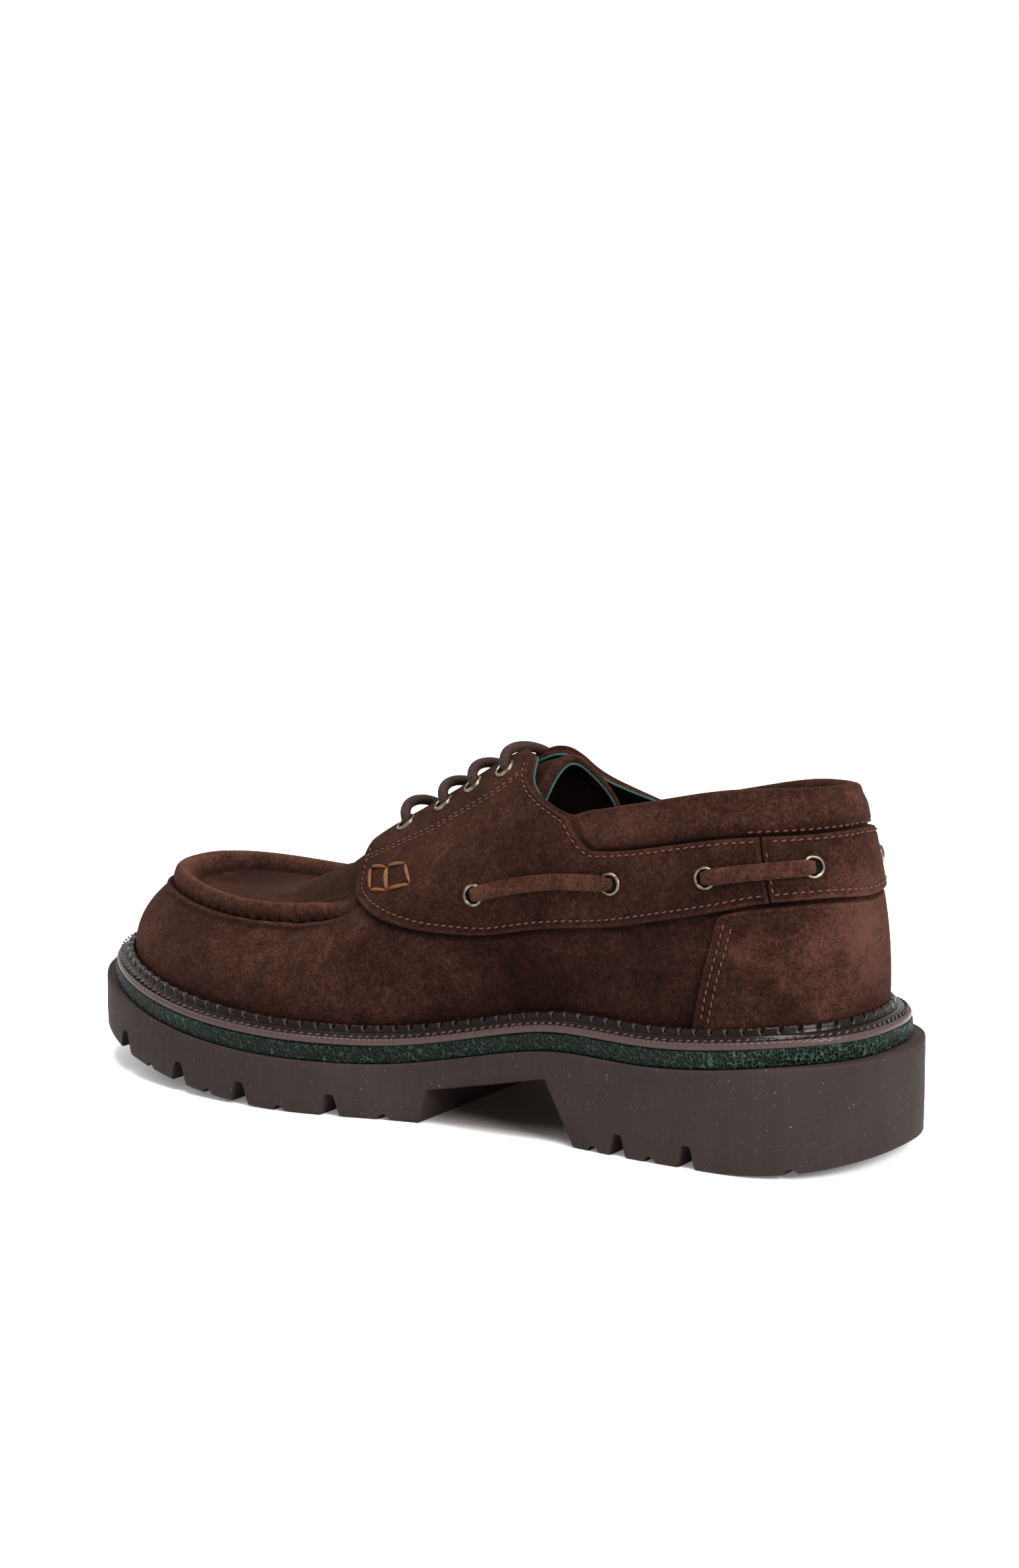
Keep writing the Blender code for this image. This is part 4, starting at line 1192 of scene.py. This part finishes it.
def make_insole():
    stations, width = 80, 15
    runs = (1 - np.cos(np.linspace(0, pi, stations))) / 2
    q = np.arccos(1 - 2 * runs) / pi
    inset = WELT_REACH + ledge(q) + WALL + 0.6 * MM
    left = layer(q, inset, WELT_BASE + INSOLE_THICK)
    right = layer(-np.maximum(q, 1e-9), inset, WELT_BASE + INSOLE_THICK)
    share = np.linspace(0, 1, width)[None, :, None]
    cup = (np.abs(np.linspace(-1, 1, width)) ** 4 * 1.2 * MM)[None, :, None] * UP
    points = left[:, None, :] * (1 - share) + right[:, None, :] * share + cup
    top_count = points.shape[0] * points.shape[1]
    low = points - np.array([0, 0, INSOLE_THICK])
    both = np.concatenate([points.reshape(-1, 3), low.reshape(-1, 3)])
    faces = grid_faces(stations, width) + grid_faces(stations, width, start=top_count)
    for i in range(stations - 1):
        for j in (0, width - 1):
            a, b = i * width + j, (i + 1) * width + j
            faces.append((a, b, b + top_count, a + top_count))
    mesh = make_mesh("insole_sock", both, faces, merge=1e-6)
    item = add_object("insole_sock", mesh, LINING)
    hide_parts("insole")


# The welt, its ridge's notches and the stitches along it.
NOTCH_PITCH = 5.4 * MM
NOTCH_HALF = 0.17
WHEEL_PITCH = 1.9 * MM
STITCH_PITCH = 2.9 * MM
RAND_EDGE = 2.3 * MM
RAND_INNER = 3.9 * MM
RAND_INSET = 0.55 * MM


def outward_at(q):
    """The outline's outward direction, level."""
    return np.concatenate([plan_normal(outline, q), np.zeros((len(q), 1))], axis=1)


def make_welt():
    """The rand, its wheeled edge and its ridge with cut notches, as a profile carried round the foot."""
    count = 2600
    qs = wrap(np.arange(count) * 2 / count)
    foot = feather(qs)
    out = outward_at(qs)
    run = run_along(np.concatenate([foot, foot[:1]]))
    total = run[-1]
    run = run[:-1]
    pitch = total / round(total / NOTCH_PITCH)
    phase = (run / pitch) % 1.0
    notch = np.clip(1 - np.abs(phase - 0.5) / NOTCH_HALF, 0, 1)
    flat = 0.05 * np.clip((phase - 0.5) / 0.5, 0, 1) + 0.05 * np.clip((0.5 - phase) / 0.5, 0, 1)
    tall = RIDGE_TALL * (1 - 0.30 * notch - flat)
    wide = np.linalg.norm((layer(qs, ledge(qs) + RAND_INSET, WELT_BASE) - foot)[:, :2], axis=1)
    wheel_pitch = total / round(total / WHEEL_PITCH)
    wheel = 0.5 + 0.5 * np.cos(2 * pi * run / wheel_pitch)
    ridge = RIDGE_WIDE - 0.5 * MM

    def place(out_by, height):
        """Points a distance out from the upper's foot and a height over the midsole."""
        reach = np.broadcast_to(out_by, (count,))[:, None]
        return foot + out * reach + UP * np.broadcast_to(height, (count,))[:, None]

    # Each point of the profile, with its tone: palest at the rand's cut edge, darkest in the groove at the
    # ridge's foot, with a painted highlight along the ridge's top edge.
    profile = [
        (place(0.2 * MM, 0), 0.2),
        (place(wide, 0), 0.9),
        (place(wide + 0.15 * MM, 0.4 * MM), 1.0),
        (place(wide + 0.15 * MM, RAND_EDGE - 0.6 * MM), 1.0),
        (place(wide - 0.1 * MM, RAND_EDGE - 0.15 * MM - 0.30 * MM * wheel), 1.0),
        (place(wide - 0.5 * MM, RAND_EDGE + 0.20 * MM - 0.25 * MM * wheel), 0.80),
        (place(wide - 0.9 * MM, RAND_EDGE + 0.10 * MM), 0.45),
        (place(wide - 1.3 * MM, RAND_EDGE + 0.15 * MM), 0.10),
        (place(wide - 1.9 * MM, RAND_EDGE + 0.75 * MM), 0.10),
        (place((wide + ridge) / 2 - 0.4 * MM, (RAND_EDGE + RAND_INNER) / 2 + 0.5 * MM), 0.35),
        (place(ridge + 0.7 * MM, RAND_INNER - 0.1 * MM), 0.40),
        (place(ridge + 0.35 * MM, RAND_INNER - 0.55 * MM), 0.02),
        (place(ridge + 0.1 * MM, RAND_INNER - 0.2 * MM), 0.05),
        (place(ridge - 0.1 * MM - 0.2 * MM * notch, (RAND_INNER + tall) / 2), 0.12),
        (place(ridge - 0.35 * MM - 0.5 * MM * notch, tall - 0.3 * MM), 0.12),
        (place(ridge - 0.8 * MM - 0.5 * MM * notch, tall), 0.24),
        (place(ridge - 2.0 * MM, tall + 0.05 * MM), 0.15),
        (place(0.8 * MM, tall - 0.4 * MM), 0.05),
        (place(0.3 * MM, tall * 0.5), 0.05),
    ]
    loop = np.stack([points for points, tone in profile], axis=1)
    tones = np.tile([tone for points, tone in profile], (count, 1))
    # A painted glint on the rear flank of each notch, over the ridge's top three points.
    tones[:, 14:17] += (0.9 * bell((phase - 0.5 - NOTCH_HALF * 0.7) / 0.04))[:, None]
    faces = grid_faces(count, len(profile), closed_columns=True, closed_rows=True)
    mesh = make_mesh("welt_leather", loop.reshape(-1, 3), faces, tones.reshape(-1))
    item = add_object("welt_leather", mesh, WELT)
    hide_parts("welt")


def make_welt_stitches():
    """The sewn row in the groove of the rand."""
    thread = Thread()
    qs = np.linspace(-1, 1, 1600)
    out = outward_at(qs)
    points = layer(qs, ledge(qs) + RAND_INSET, WELT_BASE) - out * 1.35 * MM
    points = points + UP * (RAND_EDGE + 0.35 * MM)
    normals = unit(out * 0.45 + UP)
    thread.row((points, normals), STITCH_PITCH, 2.2 * MM, 0.42 * MM, radians(28))
    thread.make("welt_stitches", WAXED)


def make_midsole():
    count = 900
    qs = wrap(np.arange(count) * 2 / count)
    levels = (0.0, 0.35, 1.2, 2.4, 3.6, 4.7, 5.3, MIDSOLE_THICK / MM)
    bulge = (0.25, 0.0, -0.12, -0.18, -0.12, 0.0, 0.15, 0.5)
    rings = [layer(qs, ledge(qs) + inset * MM, GAP + z * MM) for z, inset in zip(levels, bulge)]
    inner = [layer(qs, ledge(qs) + 9 * MM, GAP + z) for z in (MIDSOLE_THICK, 0.0)]
    loop = np.stack(rings + inner, axis=1)
    faces = grid_faces(count, loop.shape[1], closed_columns=True, closed_rows=True)
    shade = -0.085 * smooth((np.abs(qs) - 0.22) / 0.14)
    mesh = make_mesh("midsole_foam", loop.reshape(-1, 3), faces, np.repeat(shade, loop.shape[1]))
    item = add_object("midsole_foam", mesh, FOAM)
    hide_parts("midsole")


def underside(t):
    """Height of the outsole's underside: heel, breast, arch, ball and toe spring."""
    t = np.asarray(t, float)
    spring = SPRING * np.clip((t - SPRING_START) / (1 - SPRING_START), 0, None) ** 1.7
    back = HEEL_LIFT * np.clip(1 - t / HEEL_LIFT_RUN, 0, 1) ** 2
    breast = ARCH_LINE(BREAST_TOP) * HEEL_HEIGHT * (t - BREAST_FOOT) / (BREAST_TOP - BREAST_FOOT)
    result = np.where(t < BREAST_FOOT, back, breast)
    result = np.where(t >= BREAST_TOP, ARCH_LINE(t) * HEEL_HEIGHT, result)
    rear = ARCH_LINE(BALL_REAR - BALL_STEP) * HEEL_HEIGHT * (BALL_REAR - t) / BALL_STEP
    result = np.where(t > BALL_REAR - BALL_STEP, rear, result)
    return np.where(t >= BALL_REAR, spring, result)


def make_outsole():
    """The unit sole, with rounded edges and its notches cut."""
    # Stations on both sides of each sharp turn of the underside.
    turns = np.array([
        BREAST_FOOT - 6e-4, BREAST_FOOT + 4e-4, BREAST_TOP - 5e-4, BREAST_TOP + 5e-4,
        BALL_REAR - BALL_STEP, BALL_REAR - BALL_STEP / 2, BALL_REAR - 1e-4, BALL_REAR + 6e-4,
    ])
    regular = (1 - np.cos(np.linspace(0, pi, 240))) / 2
    keep = np.min(np.abs(regular[:, None] - turns[None, :]), axis=1) > 0.0012
    ts = np.sort(np.concatenate([regular[keep], turns]))
    sections = []
    for t in ts:
        q = np.arccos(np.clip(1 - 2 * t, -1, 1)) / pi
        base = float(underside(t))
        sides = []
        for place in (np.array([q]), np.array([-max(q, 1e-9)])):
            top_z = float(sole_top(inset_outline(place, 0)[:, 1])[0])
            tall = top_z - base
            # Heights, each with its inset in millimetres.
            levels = [
                (base, 1.7), (base + 0.10 * MM, 1.0), (base + 0.5 * MM, 0.4), (base + 1.3 * MM, 0.05),
                (base + tall * 0.35, -0.10), (base + tall * 0.7, -0.05), (top_z - 1.0 * MM, 0.0),
                (top_z - 0.35 * MM, 0.12), (top_z - 0.05 * MM, 0.45), (top_z, 0.9),
            ]
            sides.append([np.append(inset_outline(place, inset * MM)[0], z) for z, inset in levels])
        sections.append(np.array(sides[0] + sides[1][::-1]))
    count = len(sections[0])
    points = np.concatenate(sections)
    mesh = make_mesh("outsole_rubber", points, grid_faces(len(sections), count, closed_rows=True), merge=1e-6)
    item = add_object("outsole_rubber", mesh, RUBBER)
    cutter = make_notch_cutter()
    boolean = item.modifiers.new("notches", "BOOLEAN")
    boolean.operation = "DIFFERENCE"
    boolean.solver = "EXACT"
    boolean.object = cutter
    bpy.context.view_layer.update()
    depsgraph = bpy.context.evaluated_depsgraph_get()
    final = bpy.data.meshes.new_from_object(item.evaluated_get(depsgraph))
    item.modifiers.clear()
    item.data = final
    final.set_sharp_from_angle(angle=radians(38))
    bpy.data.objects.remove(cutter, do_unlink=True)
    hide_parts("outsole")


def make_notch_cutter():
    """One mesh of all the notches, on both sides of the sole."""
    points, faces = [], []
    profiles = []
    below = 2.1 * MM
    for t, foot, head in zip(*BIG_NOTCHES.values()):
        base = float(underside(t))
        top = base + BIG_NOTCH
        half = foot * BIG_NOTCH + (foot - head) * (base + below)
        crown = head * BIG_NOTCH
        shoulder = top - 0.8 * MM
        shape = [(-half, -below), (half, -below), (crown, shoulder)]
        shape += [(crown * 0.6, top), (-crown * 0.6, top), (-crown, shoulder)]
        profiles.append((t, shape))
    for t in SMALL_NOTCHES:
        base = float(underside(t))
        arc = np.linspace(0.15, pi - 0.15, 9)
        shape = [(-SMALL_NOTCH, -below), (SMALL_NOTCH, -below)]
        shape += [(SMALL_NOTCH * cos(a), base + SMALL_NOTCH * sin(a)) for a in arc]
        profiles.append((t, shape))
    for t, shape in profiles:
        q = np.arccos(1 - 2 * t) / pi
        for side in (q, -q):
            place = np.array([side])
            edge = outline(place)[0]
            out = np.array([np.sign(side), 0])
            along = np.array([0, np.sign(side)])
            start = len(points)
            for depth in (NOTCH_OUT, -NOTCH_DEEP):
                points += [np.append(edge + out * depth + along * a, z) for a, z in shape]
            size = len(shape)
            faces += grid_faces(2, size, closed_rows=True, start=start)
            faces.append(tuple(range(start, start + size)))
            faces.append(tuple(range(start + size, start + 2 * size)))
    return linked("notch_cutter", make_mesh("notch_cutter", points, faces, smooth_shade=False))


# Eyelets and laces.
LACE_RADIUS = 1.9 * MM * 0.92
LACE_LIFT = 15.2 * MM
LACE_SINK = 2.0 * MM
FAR_SHARE = 0.62
STRAP_HALF = 2.6
STRAP_END_HALF = 1.9
STRAP_PAST = 1.9 * MM
WELL_RADIUS = 2.6 * MM
WELL_SIDES = 20

# A ring's section, as distance from its middle and height over the panel, in millimetres.
RING = (
    (2.55, -0.6), (2.55, 0.20), (2.68, 0.62), (2.95, 0.86), (3.25, 0.88), (3.55, 0.66), (3.76, 0.32),
    (3.8, 0.0), (3.7, -0.6),
)
RING_SEGMENTS = 40

# A flat lace's section, as a share of its half width and a height in millimetres.
STRAP = (
    (-1, -.45), (-1.0, .15), (-.86, .45), (-.5, .62), (0, .68), (.5, .62), (.86, .45), (1.0, .15), (1, -.45),
)
LINING_EDGE_BEGIN = {1: 0.424, -1: 0.384}
LINING_EDGE_END = 0.650


def panel_lift(q):
    """The height of the panel under the trim: the heel patch is thicker than the quarters."""
    share = smooth((abs(q) - PATCH_EDGE - 0.008) / 0.012)
    return BASE_LIFT + PATCH_THICK + (PANEL_THICK - PATCH_THICK) * share


def surface_frame(q, v, lift):
    at = np.array([q])
    here = skin(at, np.array([v]), lift)[0]
    normal = surface_normal(at, np.array([v]))[0]
    up = unit(skin(at, np.array([v + 0.02]), lift)[0] - here)
    up = unit(up - normal * np.dot(up, normal))
    return here, normal, up


def make_eyelet(name, node, q, v):
    here, normal, up = surface_frame(q, v, panel_lift(q))
    side = np.cross(up, normal)
    points = []
    for angle in around(RING_SEGMENTS):
        spoke = up * cos(angle) + side * sin(angle)
        points += [here + spoke * r * MM + normal * h * MM for r, h in RING]
    faces = grid_faces(RING_SEGMENTS, len(RING), closed_columns=True, closed_rows=True)
    mesh = make_mesh(name, points, faces)
    item = add_object(name, mesh, BRASS)
    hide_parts(node)


def make_hole_shade(places):
    """Dark discs inside the eyelets: painted shade that stands for their holes."""
    points, faces = [], []
    for q, v in places:
        here, normal, up = surface_frame(q, v, panel_lift(q) + 0.12 * MM)
        side = np.cross(up, normal)
        start = len(points)
        points += [here + (up * cos(a) + side * sin(a)) * WELL_RADIUS for a in around(WELL_SIDES)]
        faces.append(tuple(range(start, start + WELL_SIDES)))
    mesh = make_mesh("eyelet_hole_shade", points, faces, outward=False, smooth_shade=False)
    add_object("eyelet_hole_shade", mesh, LINING)


def bezier(a, b, c, d, s):
    s = s[:, None]
    return (1 - s) ** 3 * a + 3 * s * (1 - s) ** 2 * b + 3 * s ** 2 * (1 - s) * c + s ** 3 * d


def make_lace_bar(number, q, v):
    """One crossing of the lace: out of an eyelet, over the throat in a loop, and into the one across."""
    near, near_normal = surface_frame(q, v, panel_lift(q) - LACE_SINK)[:2]
    far, far_normal = surface_frame(-q, v, panel_lift(q) - LACE_SINK)[:2]
    leave = unit(near_normal + UP * 0.45) * LACE_LIFT
    arrive = unit(far_normal + UP * 0.25) * LACE_LIFT * FAR_SHARE
    centres = bezier(near, near + leave, far + arrive, far, np.linspace(0, 1, 60))
    name = f"lace_crossing_{number}"
    item = tube(name, centres, LACE_RADIUS, LACE, sides=18, normal=np.array([0, 1.0, 0]))
    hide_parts(f"lace_bar_{number}")


def make_strap(side, sign, part, ends):
    """A flat side lace that comes out of one eyelet and goes into the next."""
    (q0, v0), (q1, v1) = ends
    reach = STRAP_PAST / np.linalg.norm(surface(q1, v1) - surface(q0, v0))
    s = np.linspace(-reach, 1 + reach, 90)
    q = (q0 + (q1 - q0) * s) * sign
    v = v0 + (v1 - v0) * s
    run = run_along(surface(q, v))
    from_end = np.minimum(run, run[-1] - run)
    lifts = np.array([panel_lift(one) for one in q])
    lifts = lifts + (-1.4 + 3.0 * smooth(from_end / (2.4 * MM))) * MM
    centres = skin(q, v, lifts)
    normals = surface_normal(q, v)
    widening = smooth((from_end - 1.0 * MM) / (4.5 * MM))
    half = (STRAP_END_HALF + (STRAP_HALF - STRAP_END_HALF) * widening) * MM
    across = unit(np.cross(unit(np.gradient(centres, axis=0)), normals))
    points = []
    for i in range(len(s)):
        points += [centres[i] + across[i] * half[i] * x + normals[i] * z * MM for x, z in STRAP]
    sides = len(STRAP)
    faces = grid_faces(len(s), sides, closed_rows=True)
    faces.append(tuple(range(sides)))
    faces.append(tuple((len(s) - 1) * sides + j for j in range(sides)))
    name = f"side_strap_{side}_{part}"
    mesh = make_mesh(name, points, faces, np.full(len(points), 0.75))
    item = add_object(name, mesh, SUEDE)
    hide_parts(f"side_lace_{side}_{part}")


def make_trim():
    """Eyelets, straps, lining edges and lace bars."""
    holes = []
    places = list(zip(*SIDE_EYELETS.values()))
    fronts = list(zip(*FRONT_EYELETS.values()))
    for side, sign in (("lateral", 1), ("medial", -1)):
        for row, spots in (("side", places), ("front", fronts)):
            for number, (q, v) in enumerate(spots, 1):
                make_eyelet(f"{row}_ring_{side}_{number}", f"{row}_eyelet_{side}_{number}", sign * q, v)
                holes.append((sign * q, v))
        make_strap(side, sign, "rear", places[0:2])
        make_strap(side, sign, "front", places[2:4])
        path = edge_path(LINING_EDGE_BEGIN[sign], LINING_EDGE_END, sign, 1.9 * MM, 0.55 * MM)
        tube(f"throat_lining_edge_{side}", path, 0.40 * MM, TEAL)
    make_hole_shade(holes)
    for number, (q, v) in enumerate(fronts, 1):
        make_lace_bar(number, q, v)


# The hand stitch at the flap's foot: two boxes of tan thread, as corner places (q, v).
TACK_RADIUS = 0.62 * MM
TACK_BOXES = (
    ((.592, 1.375), (.573, 1.100), (.551, 1.000), (.568, 1.275)),
    ((.567, 1.275), (.550, 1.000), (.527, .965), (.544, 1.200)),
)


def make_tacks():
    thread = Thread()
    for sign in (1, -1):
        for box in TACK_BOXES:
            q, v = np.array(box).T
            corners = skin(q * sign, v, PANEL_TOP + 0.15 * MM)
            normals = surface_normal(q * sign, v)
            for i in range(4):
                a, b = corners[i], corners[(i + 1) % 4]
                tangent = unit(b - a)
                normal = unit(normals[i] + normals[(i + 1) % 4])
                normal = unit(normal - tangent * np.dot(normal, tangent))
                middle = (a + b) / 2 + normal * 0.35 * MM
                thread.add(middle, tangent, normal, np.linalg.norm(b - a), TACK_RADIUS)
    thread.make("tack_stitches", GOLD)


# The stage, light and camera.
# The painted shadow on the floor: its middle and its size.
SHADE_PLACE = (-0.010, 0.018)
SHADE_SIZE = (0.062, 0.080)
CAMERA_AZIMUTH = 123.0
CAMERA_ELEVATION = 12.5
CAMERA_DISTANCE = 1.2
CAMERA_AIM = Vector((0, 0, 0.05))
PHOTO_SIZE = (1547, 2380)
AIM_PIXEL = (753.0, 1440.9)
FOCAL_PIXELS = 5467.0
SENSOR = 36.0
LIGHT_SIZE = 0.8
LIGHTS = (
    ("heel_side", (0.55, 1.55, 0.95), 46),
    ("top", (0.35, 0.1, 1.7), 38),
    ("toe_side", (-0.2, -1.6, 0.8), 6),
)
FLOOR_REACH = 6.0

# The floor is white paper, with a painted shadow: darker in a soft oval under the shoe.
FLOOR_SHADOW_STOPS = ((0.55, (.055, .040, .035)), (0.80, (.30, .28, .27)), (1.0, (.90, .90, .90)))


def make_camera():
    a, e = radians(CAMERA_AZIMUTH), radians(CAMERA_ELEVATION)
    back = Vector((sin(a) * cos(e), -cos(a) * cos(e), sin(e)))
    camera = bpy.data.cameras.new("camera")
    camera.sensor_width = SENSOR
    camera.lens = FOCAL_PIXELS * SENSOR / PHOTO_SIZE[1]
    item = linked("camera", camera)
    tilt = atan((AIM_PIXEL[1] - PHOTO_SIZE[1] / 2) / FOCAL_PIXELS)
    turn = atan((AIM_PIXEL[0] - PHOTO_SIZE[0] / 2) / FOCAL_PIXELS)
    aimed = (-back).to_track_quat("-Z", "Y").to_matrix()
    aimed = aimed @ Matrix.Rotation(tilt, 3, "X") @ Matrix.Rotation(turn, 3, "Y")
    item.matrix_world = Matrix.Translation(CAMERA_AIM + back * CAMERA_DISTANCE) @ aimed.to_4x4()
    bpy.context.scene.camera = item


def make_light(name, place, power):
    light = bpy.data.lights.new(name, "AREA")
    light.shape = "DISK"
    light.size = LIGHT_SIZE
    light.energy = power
    item = linked(name, light)
    item.location = place
    item.rotation_mode = "QUATERNION"
    item.rotation_quaternion = (CAMERA_AIM - Vector(place)).to_track_quat("-Z", "Y")


def make_stage():
    mesh = bpy.data.meshes.new("floor")
    corners = [(x * FLOOR_REACH, y * FLOOR_REACH, 0) for x, y in ((-1, -1), (1, -1), (1, 1), (-1, 1))]
    mesh.from_pydata(corners, [], [(0, 1, 2, 3)])
    n = Nodes("floor_paper_shadow")
    place = n.add("ShaderNodeMapping")
    (x, y), (wide, long) = SHADE_PLACE, SHADE_SIZE
    place.inputs["Location"].default_value = (-x / wide, -y / long, 0)
    place.inputs["Scale"].default_value = (1 / wide, 1 / long, 1)
    n.join(n.coords, place.inputs["Vector"])
    ball = n.add("ShaderNodeVectorMath", operation="LENGTH")
    n.join(place.outputs["Vector"], ball.inputs[0])
    # Painted shadow: the paper darkens towards the oval's middle.
    paper_and_shadow = n.ramp(ball.outputs["Value"], FLOOR_SHADOW_STOPS)
    n.join(paper_and_shadow, n.shader.inputs["Base Color"])
    n.join(paper_and_shadow, n.shader.inputs["Emission Color"])
    n.set(Roughness=0.7, Specular_IOR_Level=0.05, Emission_Strength=0.13)
    mesh.materials.append(n.material)
    floor = linked("floor", mesh)
    world = bpy.data.worlds.new("studio")
    world.use_nodes = True
    world.node_tree.nodes["Background"].inputs["Color"].default_value = (1, 1, 1, 1)
    world.node_tree.nodes["Background"].inputs["Strength"].default_value = 1.0
    bpy.context.scene.world = world
    for name, place, power in LIGHTS:
        make_light(name, place, power)
    bpy.context.scene.view_settings.view_transform = "Standard"


make_camera()
make_stage()
make_body()
make_lining()
make_panels()
make_stitching()
make_tongue()
make_insole()
make_welt()
make_welt_stitches()
make_midsole()
make_outsole()
make_trim()
make_tacks()
